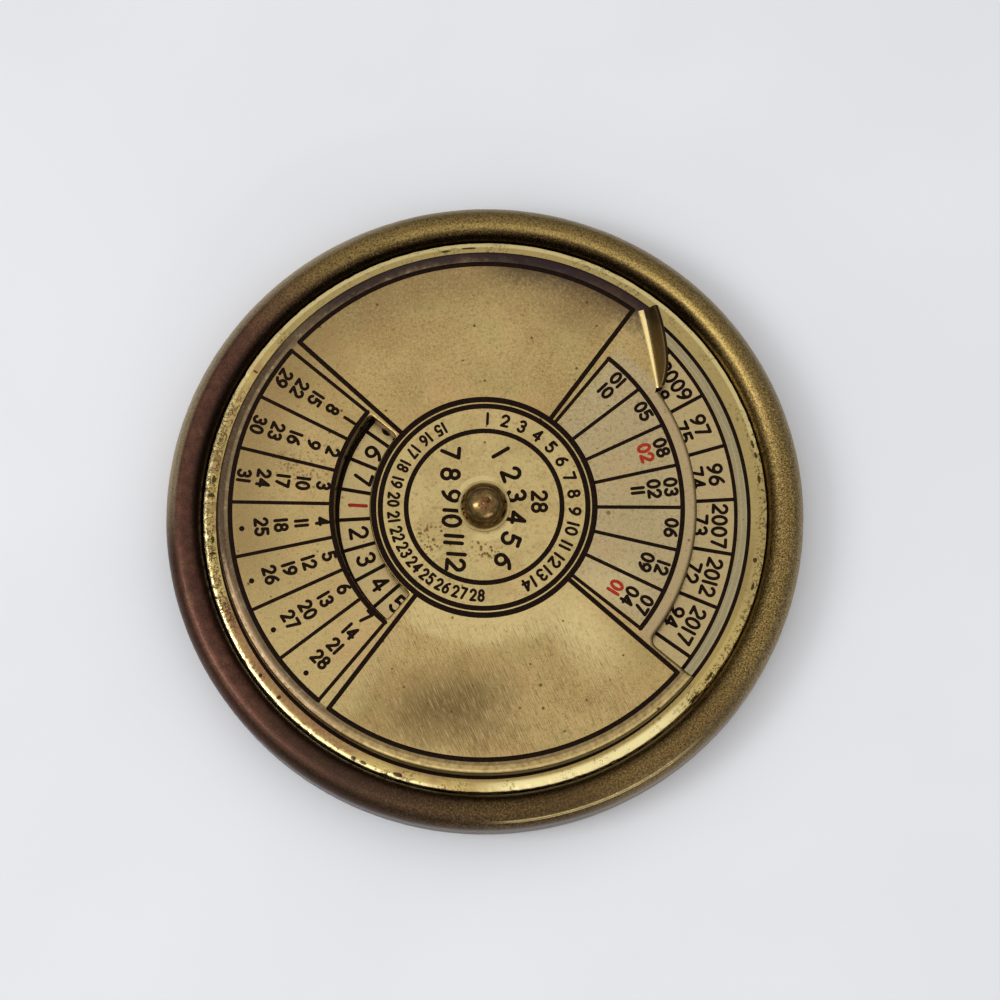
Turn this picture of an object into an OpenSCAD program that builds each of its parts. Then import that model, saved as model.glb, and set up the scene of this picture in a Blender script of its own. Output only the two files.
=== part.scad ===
// Perpetual desk calendar. A cast base with a bead rim carries a fixed year dial. A pressed
// month dial with two windows and a thumb ear turns over it on the neck of a hub bush.
// Millimetres, +Z up, origin on the desk under the pivot. The thumb ear is at the right rear.

/* [Base] */
// Outside diameter of the base over its bead rim
base_d = 80; // [74:1:100]
// Height of the casting from its underside to the crest of the bead
base_h = 7.2; // [6.4:0.1:12]
// Radius of the round bead that forms the rim
bead_r = 2.2; // [1.8:0.1:2.8]
// Depth of the dial recess below the crest of the bead
recess_depth = 2.75; // [2:0.05:3.2]
// Rounding of the lower outside edge of the base
base_edge_r = 1; // [0.4:0.1:1.6]

/* [Year dial] */
// Thickness of the fixed year dial
year_dial_t = 0.9; // [0.7:0.1:1.4]
// Rounding of the upper edge of the year dial
year_edge_r = 0.5; // [0.2:0.1:0.6]
// Width of the bare margin of the year dial outside the month dial
margin_w = 2; // [1:0.1:4]

/* [Month dial] */
// Height of the month dial's face above the year dial's face
dial_rise = 2.75; // [2.4:0.05:4]
// Thickness of the sheet that the month dial is pressed from
sheet_t = 0.6; // [0.4:0.05:0.9]
// Outside radius of the bend that turns the edge of the month dial down
rim_bend_r = 1.6; // [1:0.05:2]

/* [Weekday window] */
// Radius of the window's edge on the hub side
day_window_in_r = 14.3; // [12:0.1:15]
// Radial width of the window
day_window_w = 4.35; // [3:0.05:5]
// Direction of the window's rear end, in degrees from +X
day_window_start_angle = 140.5; // [130:0.5:160]
// Direction of the window's front end, in degrees from +X
day_window_end_angle = 230.3; // [200:0.5:240]

/* [Year window] */
// Radial width of the window, from its inner edge out to the edge of the dial
year_window_w = 6.9; // [5:0.1:8]
// Direction of the window's front end, in degrees from +X
year_window_start_angle = -39.7; // [-60:0.5:-20]
// Radius of the window's inner corner
year_window_corner_r = 1.2; // [0.5:0.1:2]

/* [Thumb ear] */
// Direction of the ear's inner end, on the window's inner edge, in degrees from +X
ear_start_angle = 34.3; // [30:0.1:38]
// Direction of the ear's outer end, at the edge of the dial, in degrees from +X
ear_end_angle = 51.5; // [48:0.1:56]
// Reach of the ear from its bend, at its widest point
ear_w = 2.6; // [2:0.1:4]
// Angle that the ear is bent up from the face
ear_lean = 57; // [30:1:80]
// Place of the ear's widest point, as a share of the bend's length
ear_peak = 0.6; // [0.4:0.01:0.8]
// Radius of the ear's long free edge
ear_edge_r = 16; // [10:0.5:30]
// Radius of the ear's rounded nose, at its inner end
ear_nose_r = 6.5; // [4:0.5:8]
// Relief between the ear's inner end and the window's inner edge
ear_relief = 0.4; // [0.2:0.1:1]

/* [Pivot] */
// Diameter of the riveting post
post_d = 3.2; // [2.6:0.1:3.6]
// Diameter of the post's lower head
post_head_d = 7.4; // [6:0.1:9]
// Thickness of the post's lower head
post_head_t = 0.9; // [0.6:0.1:1.2]
// Diameter of the washer above the post's lower head
backing_washer_d = 9.4; // [8:0.1:12]
// Thickness of that washer
backing_washer_t = 0.6; // [0.4:0.1:0.8]
// Diameter of the hub bush under the month dial
bush_d = 9; // [7.5:0.1:11]
// Diameter of the neck that the month dial turns on
neck_d = 4.8; // [4.4:0.1:5.2]
// Thickness of the friction washer on the bush, pressed flat
friction_washer_t = 0.4; // [0.2:0.05:0.6]
// Diameter of the thin washer under the knob
knob_washer_d = 6.5; // [6.1:0.1:7.5]
// Thickness of that washer
knob_washer_t = 0.25; // [0.15:0.05:0.5]
// Diameter of the domed knob
knob_d = 5.9; // [5.4:0.1:6]
// Height of the domed knob
knob_h = 2.8; // [2.2:0.1:4]

/* [Locating pins] */
// Diameter of the two pins that stop the year dial from turning
pin_d = 2; // [1.4:0.1:2.4]
// Depth of the pins in the base
pin_seat = 1.6; // [1:0.1:2]

/* [Felt] */
// Thickness of the felt pad
felt_t = 1.2; // [0.8:0.1:2]
// Depth of the seat under the base that the felt is glued in
felt_seat = 0.3; // [0.1:0.05:0.5]
// Distance of the felt's edge inside the base's outside
felt_inset = 2.6; // [2:0.1:6]

/* [Clearances] */
// Radial running clearance of the month dial on the neck
turn_clearance = 0.05; // [0.01:0.01:0.1]
// End float of the month dial, above it and below it
end_float = 0.05; // [0.02:0.01:0.2]
// Running gap under the month dial's skirt
skirt_gap = 0.15; // [0.05:0.05:0.4]
// Radial clearance of the pieces that stay fixed on the post and the pins
seat_clearance = 0.02; // [0.01:0.01:0.05]
// Gap round the year dial and round the felt
drop_in_gap = 0.2; // [0.1:0.05:0.4]

/* [Hidden] */
$fn = 128;

// Heights, from the desk up
base_z = felt_t - felt_seat;
crest_z = base_z + base_h;
bead_z = crest_z - bead_r;
floor_z = crest_z - recess_depth;
year_z = floor_z + year_dial_t;
face_z = year_z + dial_rise;
sheet_z = face_z - sheet_t;
skirt_z = year_z + skirt_gap;
head_z = felt_t + drop_in_gap;
backing_z = head_z + post_head_t;
clamp_z = backing_z + backing_washer_t;
friction_z = sheet_z - end_float - friction_washer_t;
neck_z = face_z + end_float;
knob_z = neck_z + knob_washer_t;
dome_z = knob_z + knob_h - knob_d / 2;
pin_z = floor_z - pin_seat;

// Radii, from the rim in
base_r = base_d / 2;
recess_r = base_r - 2 * bead_r;
year_dial_r = recess_r - drop_in_gap;
month_dial_r = year_dial_r - margin_w;
flat_r = month_dial_r - rim_bend_r;
year_window_r = month_dial_r - year_window_w;
day_window_out_r = day_window_in_r + day_window_w;
pin_circle_r = (day_window_out_r + year_window_r) / 2;
felt_r = base_r - felt_inset;
// Depth by which the corner's circle crosses the window's edges instead of touching them
corner_bite = 0.02;
// Reach of cutting shapes beyond what they cut
far = 3 * base_r;
over = 1;

// The ear's bend runs straight from the window's inner edge to the middle of the rim bend
function polar(r, a) = r * [cos(a), sin(a)];
ear_start = polar(year_window_r, ear_start_angle);
ear_end = polar(month_dial_r - rim_bend_r / 2, ear_end_angle);
ear_run = ear_end - ear_start;
ear_length = norm(ear_run);
ear_direction = ear_run / ear_length;
ear_turn = atan2(ear_run.y, ear_run.x);
// Angle by which the bend's section overlaps the flat on each side of it
bend_overlap = 45;
// The nose is an arc from the bend's inner end that levels off at the ear's full reach
ear_nose_x = sqrt(pow(ear_nose_r, 2) - pow(ear_nose_r - ear_w, 2));

module ring(z, h, outer_r, inner_r) {
  translate([0, 0, z])
    linear_extrude(h)
      difference() {
        circle(outer_r);
        circle(inner_r);
      }
}

module at_pins() {
  for (side = [-1, 1])
    translate([0, side * pin_circle_r, 0])
      children();
}

// Half section of the base: flat floor, bead rim, upright wall and rounded lower edge
module base_section() {
  difference() {
    union() {
      translate([0, base_z])
        square([base_r - base_edge_r, bead_z - base_z]);
      translate([0, base_z + base_edge_r])
        square([base_r, bead_z - base_z - base_edge_r]);
      translate([base_r - base_edge_r, base_z + base_edge_r])
        circle(base_edge_r);
      translate([base_r - bead_r, bead_z])
        circle(bead_r);
    }
    translate([0, floor_z])
      square([recess_r, base_h]);
  }
}

module base() {
  color("darkgoldenrod")
    difference() {
      rotate_extrude()
        base_section();
      translate([0, 0, base_z - over])
        cylinder(r = felt_r + drop_in_gap, h = felt_seat + over);
      translate([0, 0, base_z])
        cylinder(d = backing_washer_d + 2 * drop_in_gap, h = clamp_z - base_z);
      translate([0, 0, base_z])
        cylinder(d = post_d + 2 * seat_clearance, h = base_h);
      at_pins()
        translate([0, 0, pin_z])
          cylinder(d = pin_d + 2 * seat_clearance, h = base_h);
    }
}

module felt_pad() {
  color("darkgreen")
    cylinder(r = felt_r, h = felt_t);
}

module year_dial() {
  color("gold")
    difference() {
      rotate_extrude()
        union() {
          translate([0, floor_z])
            square([year_dial_r - year_edge_r, year_dial_t]);
          translate([0, floor_z])
            square([year_dial_r, year_dial_t - year_edge_r]);
          translate([year_dial_r - year_edge_r, year_z - year_edge_r])
            intersection() {
              circle(year_edge_r);
              square(year_edge_r);
            }
        }
      translate([0, 0, floor_z - over])
        cylinder(d = post_d + 2 * seat_clearance, h = year_dial_t + 2 * over);
      at_pins()
        translate([0, 0, floor_z - over])
          cylinder(d = pin_d + 2 * seat_clearance, h = year_dial_t + 2 * over);
    }
}

module locating_pins() {
  color("silver")
    at_pins()
      translate([0, 0, pin_z])
        cylinder(d = pin_d, h = year_z - end_float - pin_z);
}

// Half section of the pressed dial: flat face, rim bend and skirt
module dial_section() {
  translate([0, sheet_z])
    square([flat_r, sheet_t]);
  translate([flat_r, face_z - rim_bend_r])
    intersection() {
      difference() {
        circle(rim_bend_r);
        circle(rim_bend_r - sheet_t);
      }
      square(rim_bend_r);
    }
  translate([month_dial_r - sheet_t, skirt_z])
    square([sheet_t, face_z - rim_bend_r - skirt_z]);
}

// Plan of the weekday window, grown outwards by a distance
module day_window(grow) {
  middle = (day_window_start_angle + day_window_end_angle) / 2;
  half = (day_window_end_angle - day_window_start_angle) / 2;
  apex = polar(-grow / sin(half), middle);
  difference() {
    intersection() {
      circle(day_window_out_r + grow);
      polygon([apex, apex + polar(far, day_window_start_angle), apex + polar(far, middle),
               apex + polar(far, day_window_end_angle)]);
    }
    circle(day_window_in_r - grow);
  }
}

// Plan of the year window, grown past its front end and its inner edge by a distance
module year_window(grow) {
  apex = polar(grow, year_window_start_angle - 90);
  difference() {
    polygon([apex, apex + polar(far, year_window_start_angle), polar(far, 0),
             polar(far, ear_start_angle), ear_end + far * ear_direction,
             ear_start - 2 * over * ear_direction]);
    circle(year_window_r - grow);
  }
}

// Sheet that rounds the year window's inner corner
module year_window_corner() {
  reach = year_window_corner_r - corner_bite;
  centre_r = year_window_r + reach;
  centre_a = year_window_start_angle + asin(reach / centre_r);
  side = sqrt(pow(centre_r, 2) - pow(reach, 2));
  into_wall = polar(sheet_t / 2, year_window_start_angle - 90);
  difference() {
    polygon([polar(year_window_r - sheet_t / 2, year_window_start_angle) + into_wall,
             polar(side, year_window_start_angle) + into_wall,
             polar(centre_r, centre_a),
             polar(year_window_r - sheet_t / 2, centre_a)]);
    translate(polar(centre_r, centre_a))
      circle(year_window_corner_r);
  }
}

// Walls that are turned down round both windows
module window_skirts() {
  translate([0, 0, skirt_z])
    linear_extrude(sheet_z + sheet_t / 2 - skirt_z) {
      difference() {
        day_window(sheet_t);
        day_window(0);
      }
      intersection() {
        difference() {
          year_window(sheet_t);
          year_window(0);
        }
        circle(month_dial_r - sheet_t / 2);
      }
    }
}

// Outline of the ear seen square on, with its bend along +X
module ear_outline() {
  intersection() {
    translate([ear_relief, -sheet_t])
      square([ear_length - ear_relief, ear_w + sheet_t]);
    translate([ear_peak * ear_length, ear_w - ear_edge_r])
      circle(ear_edge_r);
    union() {
      translate([ear_nose_x, ear_w - ear_nose_r])
        circle(ear_nose_r);
      translate([ear_nose_x, -sheet_t])
        square([ear_length, ear_w + sheet_t]);
    }
  }
}

// Section of the ear across its bend: the outside of the bend and the bent sheet
module ear_section() {
  intersection() {
    circle(sheet_t);
    polygon([[0, 0], polar(2 * sheet_t, -90 - bend_overlap), polar(2 * sheet_t, ear_lean - 90),
             polar(2 * sheet_t, ear_lean - 90 + bend_overlap)]);
  }
  rotate(ear_lean)
    translate([0, -sheet_t])
      square([ear_w + over, sheet_t]);
}

// Thumb ear: a tongue of the sheet, bent up and out along a straight line
module ear() {
  translate([ear_start.x, ear_start.y, face_z])
    rotate([0, 0, ear_turn])
      mirror([0, 1, 0])
        intersection() {
          rotate([90, 0, 90])
            linear_extrude(ear_length)
              ear_section();
          rotate([ear_lean, 0, 0])
            translate([0, 0, -over])
              linear_extrude(2 * over)
                ear_outline();
        }
}

module month_dial() {
  color("goldenrod")
    difference() {
      union() {
        difference() {
          rotate_extrude()
            dial_section();
          translate([0, 0, skirt_z - over])
            linear_extrude(dial_rise + 2 * over) {
              day_window(0);
              year_window(0);
            }
        }
        window_skirts();
        translate([0, 0, skirt_z])
          linear_extrude(face_z - skirt_z)
            year_window_corner();
        ear();
      }
      translate([0, 0, skirt_z])
        cylinder(d = neck_d + 2 * turn_clearance, h = dial_rise + over);
    }
}

// The post's top end is riveted over flush with the dome
module post() {
  color("peru") {
    translate([0, 0, head_z])
      cylinder(d = post_head_d, h = post_head_t);
    translate([0, 0, head_z])
      cylinder(d = post_d, h = dome_z - head_z);
    intersection() {
      translate([0, 0, dome_z - over])
        cylinder(d = post_d, h = knob_h + 2 * over);
      translate([0, 0, dome_z])
        sphere(d = knob_d);
    }
  }
}

module backing_washer() {
  color("khaki")
    ring(backing_z, backing_washer_t, backing_washer_d / 2, post_d / 2 + seat_clearance);
}

module hub_bush() {
  color("burlywood") {
    ring(year_z, friction_z - year_z, bush_d / 2, post_d / 2 + seat_clearance);
    ring(year_z, neck_z - year_z, neck_d / 2, post_d / 2 + seat_clearance);
  }
}

module friction_washer() {
  color("dimgray")
    ring(friction_z, friction_washer_t, bush_d / 2, neck_d / 2 + seat_clearance);
}

module knob_washer() {
  color("saddlebrown")
    ring(neck_z, knob_washer_t, knob_washer_d / 2, post_d / 2 + seat_clearance);
}

module knob() {
  color("sienna")
    difference() {
      intersection() {
        translate([0, 0, knob_z])
          cylinder(d = knob_d, h = knob_h);
        union() {
          translate([0, 0, dome_z])
            sphere(d = knob_d);
          translate([0, 0, dome_z - knob_h])
            cylinder(d = knob_d, h = knob_h);
        }
      }
      translate([0, 0, knob_z - over])
        cylinder(d = post_d + 2 * seat_clearance, h = knob_h + 2 * over);
    }
}

base();
felt_pad();
year_dial();
locating_pins();
month_dial();
post();
backing_washer();
hub_bush();
friction_washer();
knob_washer();
knob();
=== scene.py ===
# Brass desk calendar: a cast base, a fixed year dial, a month dial that turns over it and a domed knob
import math

import bmesh
import bpy
from mathutils import Matrix, Vector, noise


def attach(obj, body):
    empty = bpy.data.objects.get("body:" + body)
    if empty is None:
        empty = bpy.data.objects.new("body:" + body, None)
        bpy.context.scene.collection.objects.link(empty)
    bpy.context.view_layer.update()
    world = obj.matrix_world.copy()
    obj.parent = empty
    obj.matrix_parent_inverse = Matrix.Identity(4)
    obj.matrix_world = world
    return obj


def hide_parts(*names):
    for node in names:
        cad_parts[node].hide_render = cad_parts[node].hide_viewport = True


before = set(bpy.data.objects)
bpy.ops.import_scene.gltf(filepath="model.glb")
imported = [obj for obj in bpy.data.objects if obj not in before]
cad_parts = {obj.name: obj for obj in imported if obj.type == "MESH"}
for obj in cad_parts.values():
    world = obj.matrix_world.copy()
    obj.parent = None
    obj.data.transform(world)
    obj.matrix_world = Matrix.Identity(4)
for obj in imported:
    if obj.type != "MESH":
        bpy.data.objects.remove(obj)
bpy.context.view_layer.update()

mm = 0.001


def polar(radius, angle):
    a = math.radians(angle)
    return Vector((radius * math.cos(a), radius * math.sin(a)))


def wave(x, y, z, size):  # smooth noise, -1 to 1, with features of the given size
    return noise.noise(Vector((x, y, z)) / size)


def addLoop(bm, points):  # a row of vertices, given in millimetres
    return [bm.verts.new((x * mm, y * mm, z * mm)) for x, y, z in points]


def bridge(bm, rows, closed=True):  # faces between each row of vertices and the next
    for first, second in zip(rows, rows[1:]):
        if closed:
            first, second = first + first[:1], second + second[:1]
        for i in range(len(first) - 1):
            bm.faces.new((first[i], first[i + 1], second[i + 1], second[i]))


def fillFlat(bm, rings):  # a flat face with holes, between closed rings
    edges = []
    for ring in rings:
        for v, w in zip(ring, ring[1:] + ring[:1]):
            edges.append(bm.edges.get((v, w)) or bm.edges.new((v, w)))
    bmesh.ops.triangle_fill(bm, use_beauty=True, use_dissolve=False, edges=edges)


def circleRing(bm, radius, z, columns, middle=(0, 0), shift=None):
    x, y = middle
    points = []
    for i in range(columns):
        a = 2 * math.pi * i / columns
        dr, dz = shift(radius, z, a) if shift else (0, 0)
        points.append((x + (radius + dr) * math.cos(a), y + (radius + dr) * math.sin(a), z + dz))
    return addLoop(bm, points)


def turnedRings(bm, profile, columns, shift=None):  # a lathe: rings along a profile of (radius, z)
    rings = [circleRing(bm, r, z, columns, shift=shift) for r, z in profile]
    bridge(bm, rings)
    return rings


def arc(middleX, middleY, radius, start, end, steps, squash=1.0):
    points = []
    for i in range(steps + 1):
        a = math.radians(start + (end - start) * i / steps)
        points.append((middleX + radius * squash * math.cos(a), middleY + radius * math.sin(a)))
    return points


def intoScene(name, data):
    obj = bpy.data.objects.new(name, data)
    bpy.context.scene.collection.objects.link(obj)
    return obj


def finishMesh(name, bm, sharpAngle=38):
    bmesh.ops.recalc_face_normals(bm, faces=bm.faces)
    mesh = bpy.data.meshes.new(name)
    bm.to_mesh(mesh)
    bm.free()
    mesh.shade_smooth()
    mesh.set_sharp_from_angle(angle=math.radians(sharpAngle))
    return intoScene(name, mesh)


def dress(obj, material, body, slot, *nodes):  # finish, body and the CAD nodes it stands for
    obj.data.materials.clear()
    obj.data.materials.append(material)
    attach(obj, body)
    if nodes:
        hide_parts(*nodes)


def srgb(*colour):  # 0 to 255 as written, to the linear colour that a socket takes
    parts = [c / 255 for c in colour]
    return tuple(c / 12.92 if c <= 0.04045 else ((c + 0.055) / 1.055) ** 2.4 for c in parts)


def link(tree, value, socket):  # a socket is linked, a number or colour is set
    value = getattr(value, "socket", value)
    if hasattr(value, "is_output"):
        tree.links.new(value, socket)
    elif hasattr(value, "__len__") and len(socket.default_value) == 4 and len(value) == 3:
        socket.default_value = (*value, 1)
    else:
        socket.default_value = value


def addNode(tree, kind, *values, sockets=None, **settings):  # inputs are given in order, or by name in sockets
    node = tree.nodes.new(kind)
    for name, value in settings.items():
        setattr(node, name, value)
    for socket, value in zip(node.inputs, values):
        link(tree, value, socket)
    for name, value in (sockets or {}).items():
        link(tree, value, node.inputs[name])
    return node


def result(node, name=0):
    return surfaceValue(node.id_data, node.outputs[name])


class surfaceValue:  # a value or mask that changes over a surface, with plain arithmetic
    def __init__(self, tree, socket):
        self.tree, self.socket = tree, socket

    def calc(self, operation, *others):
        return result(addNode(self.tree, "ShaderNodeMath", self, *others, operation=operation))

    def __add__(self, other):
        return self.calc("ADD", other)

    def __sub__(self, other):
        return self.calc("SUBTRACT", other)

    def __mul__(self, other):
        return self.calc("MULTIPLY", other)

    def __rsub__(self, other):
        return result(addNode(self.tree, "ShaderNodeMath", other, self, operation="SUBTRACT"))

    def __rtruediv__(self, other):
        return result(addNode(self.tree, "ShaderNodeMath", other, self, operation="DIVIDE"))

    def __abs__(self):
        return self.calc("ABSOLUTE")

    def ramp(self, fromLow, fromHigh, toLow=0.0, toHigh=1.0):  # a smooth step from one level to another
        return result(addNode(self.tree, "ShaderNodeMapRange", self, fromLow, fromHigh, toLow, toHigh,
                              interpolation_type="SMOOTHSTEP"))

    def band(self, start, end, soft):  # 1 between two values, fading to 0 beside them
        return self.ramp(start - soft, start) * self.ramp(end + soft, end)

    def between(self, low, high):  # low where this is 0, high where it is 1
        mix = addNode(self.tree, "ShaderNodeMix", sockets={0: self, 2: low, 3: high}, data_type="FLOAT")
        return result(mix)


def highest(first, *others):
    for other in others:
        first = first.calc("MAXIMUM", other)
    return first


def vectorCalc(tree, operation, *values, output="Vector"):
    return result(addNode(tree, "ShaderNodeVectorMath", *values, operation=operation), output)


def turned(tree, place, angle):  # about the pivot, in radians
    return result(addNode(tree, "ShaderNodeVectorRotate", sockets={"Vector": place, "Angle": angle},
                          rotation_type="Z_AXIS"))


def noiseAt(tree, place, scale, detail, roughness, distortion=0.0):
    sockets = {"Vector": place, "Scale": scale, "Detail": detail, "Roughness": roughness,
               "Distortion": distortion}
    return result(addNode(tree, "ShaderNodeTexNoise", sockets=sockets), "Fac")


# a shader group with named inputs: a number makes a float input, anything else a vector input
def newGroup(name, outputs, **inputs):
    tree = bpy.data.node_groups.new(name, "ShaderNodeTree")
    for label, value in inputs.items():
        kind = "NodeSocketFloat" if isinstance(value, float) else "NodeSocketVector"
        socket = tree.interface.new_socket(name=label.capitalize(), in_out="INPUT", socket_type=kind)
        if value is not None:
            socket.default_value = value
    for label in outputs:
        tree.interface.new_socket(name=label, in_out="OUTPUT", socket_type="NodeSocketFloat")
    given, out = addNode(tree, "NodeGroupInput"), addNode(tree, "NodeGroupOutput")
    return tree, {label: result(given, label.capitalize()) for label in inputs}, out.inputs


def useGroup(tree, name, **inputs):
    sockets = {label.capitalize(): value for label, value in inputs.items()}
    node = addNode(tree, "ShaderNodeGroup", sockets=sockets, node_tree=bpy.data.node_groups[name])
    return {socket.name: surfaceValue(tree, socket) for socket in node.outputs}


def buildGroups():
    # mottle: a cloudy mask
    tree, i, o = newGroup("mottle", ["Mask"], place=None, size=5.0, low=0.4, high=0.6, detail=3.0)
    cloud = noiseAt(tree, i["place"], 1.0 / i["size"], i["detail"], 0.55, 0.3)
    link(tree, cloud.ramp(i["low"], i["high"]), o["Mask"])

    # one soft-edged patch at a place, with a ragged outline, used for stains and for painted light
    tree, i, o = newGroup("stainPatch", ["Mask"], place=None, middle=(0, 0, 0), reach=(1, 1, 1), turn=0.0,
                          ragged=0.4, grain=2.0, soft=0.6)
    away = turned(tree, vectorCalc(tree, "SUBTRACT", i["place"], i["middle"]), i["turn"])
    length = vectorCalc(tree, "LENGTH", vectorCalc(tree, "DIVIDE", away, i["reach"]), output="Value")
    rough = noiseAt(tree, i["place"], 1.0 / i["grain"], 4.0, 0.6)
    edge = length + (rough - 0.5) * (i["ragged"] * 2.0)
    link(tree, edge.ramp(1.0, 1.0 - i["soft"]), o["Mask"])

    # specks: small pits scattered in some of the cells
    tree, i, o = newGroup("specks", ["Mask"], place=None, spacing=1.0, share=0.3, width=0.2)
    cells = addNode(tree, "ShaderNodeTexVoronoi", sockets={"Vector": i["place"], "Scale": 1.0 / i["spacing"]})
    draw = addNode(tree, "ShaderNodeSeparateColor", result(cells, "Color"))
    chosen = result(draw, 0).calc("LESS_THAN", i["share"])
    reach = i["width"] * (result(draw, 1) + 0.35)
    link(tree, result(cells, "Distance").ramp(reach, reach * 0.5) * chosen, o["Mask"])

    # dialPlace: radius and angle about the pivot, from a place in millimetres
    tree, i, o = newGroup("dialPlace", ["Radius", "Angle", "Height"], place=None)
    split = addNode(tree, "ShaderNodeSeparateXYZ", i["place"])
    x, y = result(split, "X"), result(split, "Y")
    link(tree, (x * x + y * y).calc("SQRT"), o["Radius"])
    link(tree, y.calc("ARCTAN2", x) * math.degrees(1), o["Angle"])
    link(tree, result(split, "Z"), o["Height"])

    # sector: a soft window of angles about a middle angle
    tree, i, o = newGroup("sector", ["Mask"], place=None, middle=0.0, half=30.0, soft=15.0)
    spot = useGroup(tree, "dialPlace", place=turned(tree, i["place"], i["middle"] * -math.radians(1)))
    link(tree, abs(spot["Angle"]).ramp(i["half"] + i["soft"], i["half"]), o["Mask"])

    # brushMarks: fine parallel marks
    tree, i, o = newGroup("brushMarks", ["Height"], place=None, turn=0.0, pitch=0.2, length=12.0)
    stretch = result(addNode(tree, "ShaderNodeCombineXYZ", 1.0 / i["length"], 1.0, 1.0))
    along = vectorCalc(tree, "MULTIPLY", turned(tree, i["place"], i["turn"]), stretch)
    link(tree, noiseAt(tree, along, 1.0 / i["pitch"], 3.0, 0.6), o["Height"])

    # scratches: sparse thin lines that run one way
    tree, i, o = newGroup("scratches", ["Mask"], place=None, turn=0.0, pitch=0.3, length=10.0, share=0.1)
    marks = useGroup(tree, "brushMarks", place=i["place"], turn=i["turn"], pitch=i["pitch"], length=i["length"])
    high = 0.8 - i["share"]
    link(tree, marks["Height"].ramp(high, high + 0.05), o["Mask"])


class coating:  # a material in the making: its place in millimetres, its dictionary and its colour so far
    def __init__(self, name, look=None):
        self.material = bpy.data.materials.new(name)
        self.material.use_nodes = True
        self.tree = tree = self.material.node_tree
        tree.nodes.clear()
        self.shader = addNode(tree, "ShaderNodeBsdfPrincipled")
        addNode(tree, "ShaderNodeOutputMaterial", self.shader.outputs[0])
        coords = addNode(tree, "ShaderNodeTexCoord")
        self.place = result(addNode(tree, "ShaderNodeMapping", coords.outputs["Object"],
                                    sockets={"Scale": (1 / mm,) * 3}))
        spot = useGroup(tree, "dialPlace", place=self.place)
        self.radius, self.height = spot["Radius"], spot["Height"]
        self.look, self.colour = look, None

    def numbers(self, given):  # a layer takes its numbers, or the name that they have in the dictionary
        return self.look[given[0]] if isinstance(given[0], str) else given

    def group(self, name, labels, given, place=None, output="Mask"):
        inputs = dict(zip(labels.split(), self.numbers(given)), place=place or self.place)
        if "turn" in inputs:
            inputs["turn"] = math.radians(inputs["turn"])
        return useGroup(self.tree, name, **inputs)[output]

    def noise(self, *given, place=None):
        return noiseAt(self.tree, place or self.place, *self.numbers(given))

    def mottle(self, *given, place=None):
        return self.group("mottle", "size low high detail", given, place)

    def specks(self, *given):
        return self.group("specks", "spacing share width", given)

    def brushMarks(self, *given):
        return self.group("brushMarks", "turn pitch length", given, output="Height")

    def scratches(self, *given):
        return self.group("scratches", "turn pitch length share", given)

    def sector(self, *given):  # degrees
        return self.group("sector", "middle half soft", given)

    def ring(self, *given):
        return self.radius.band(*self.numbers(given))

    def stain(self, *given, z=9.0):  # z is the height of the face it lies on
        radius, angle, reach, *rest = self.numbers(given)
        return self.group("stainPatch", "middle reach turn ragged grain soft",
                          ((*polar(radius, angle), z), (*reach, 50.0), *rest))

    def stretched(self, factors):
        return vectorCalc(self.tree, "MULTIPLY", self.place, factors)

    def blend(self, factor, low, high):  # each is a tone's name, a linear colour or a blend
        low, high = (srgb(*self.look[c]) if isinstance(c, str) else c for c in (low, high))
        mix = addNode(self.tree, "ShaderNodeMix", sockets={0: factor, 6: low, 7: high}, data_type="RGBA")
        return result(mix, 2)

    def base(self, factor, low, high):
        self.colour = self.blend(factor, low, high)

    def paint(self, tone, factor):
        self.colour = self.blend(factor, self.colour, tone)

    def bump(self, height, depth, normal=None):  # depth in millimetres
        sockets = {"Strength": 1.0, "Distance": depth * mm, "Height": height}
        if normal is not None:
            sockets["Normal"] = normal
        return result(addNode(self.tree, "ShaderNodeBump", sockets=sockets))

    def close(self, sockets):
        link(self.tree, self.colour, self.shader.inputs["Base Color"])
        for name, value in sockets.items():
            link(self.tree, value, self.shader.inputs[name])
        return self.material


cameraSet = dict(
    place=(5.7584, -74.1663, 326.6057),
    right=(0.99993298, 0.00265982, -0.01126761),
    up=(0.0, 0.97325093, 0.22974468),
    forward=(-0.01157729, 0.22972928, -0.97318571),
    lens=94.363, sensor=36, clip=(0.01, 20),
)


def placeCamera():
    s = cameraSet
    cam = bpy.data.cameras.new("deskCamera")
    cam.sensor_width, cam.lens = s["sensor"], s["lens"]
    cam.clip_start, cam.clip_end = s["clip"]
    obj = intoScene("deskCamera", cam)
    axes = Matrix((s["right"], s["up"], -Vector(s["forward"]))).transposed()
    obj.matrix_world = Matrix.Translation(Vector(s["place"]) * mm) @ axes.to_4x4()
    bpy.context.scene.camera = obj


# a soft room, brightest overhead and toward the window, with two lamps: (name, direction, size, power)
lightSet = dict(
    sky=(0.985, 0.99, 1.0),
    lowLevel=0.48, highLevel=0.94, rise=(0.42, 0.9),
    glow=0.5, glowFrom=(-0.424, -0.265, 0.866), glowReach=(0.84, 0.98),
    horizon=0.35, horizonRise=(0.1, 0.45),
    lamps=(("windowLamp", (-0.629, -0.134, 0.766), (190, 230), 0.7),
           ("stripLamp", (0.365, -0.806, 0.463), (420, 45), 0.22)),
    lampAway=600,
)


def areaLamp(name, direction, size, power):
    away = Vector(direction).normalized()
    lamp = bpy.data.lights.new(name, "AREA")
    lamp.shape = "RECTANGLE"
    lamp.size, lamp.size_y = (v * mm for v in size)
    lamp.energy = power
    obj = intoScene(name, lamp)
    turn = away.to_track_quat("Z", "Y").to_matrix().to_4x4()
    obj.matrix_world = Matrix.Translation(away * lightSet["lampAway"] * mm) @ turn


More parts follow.
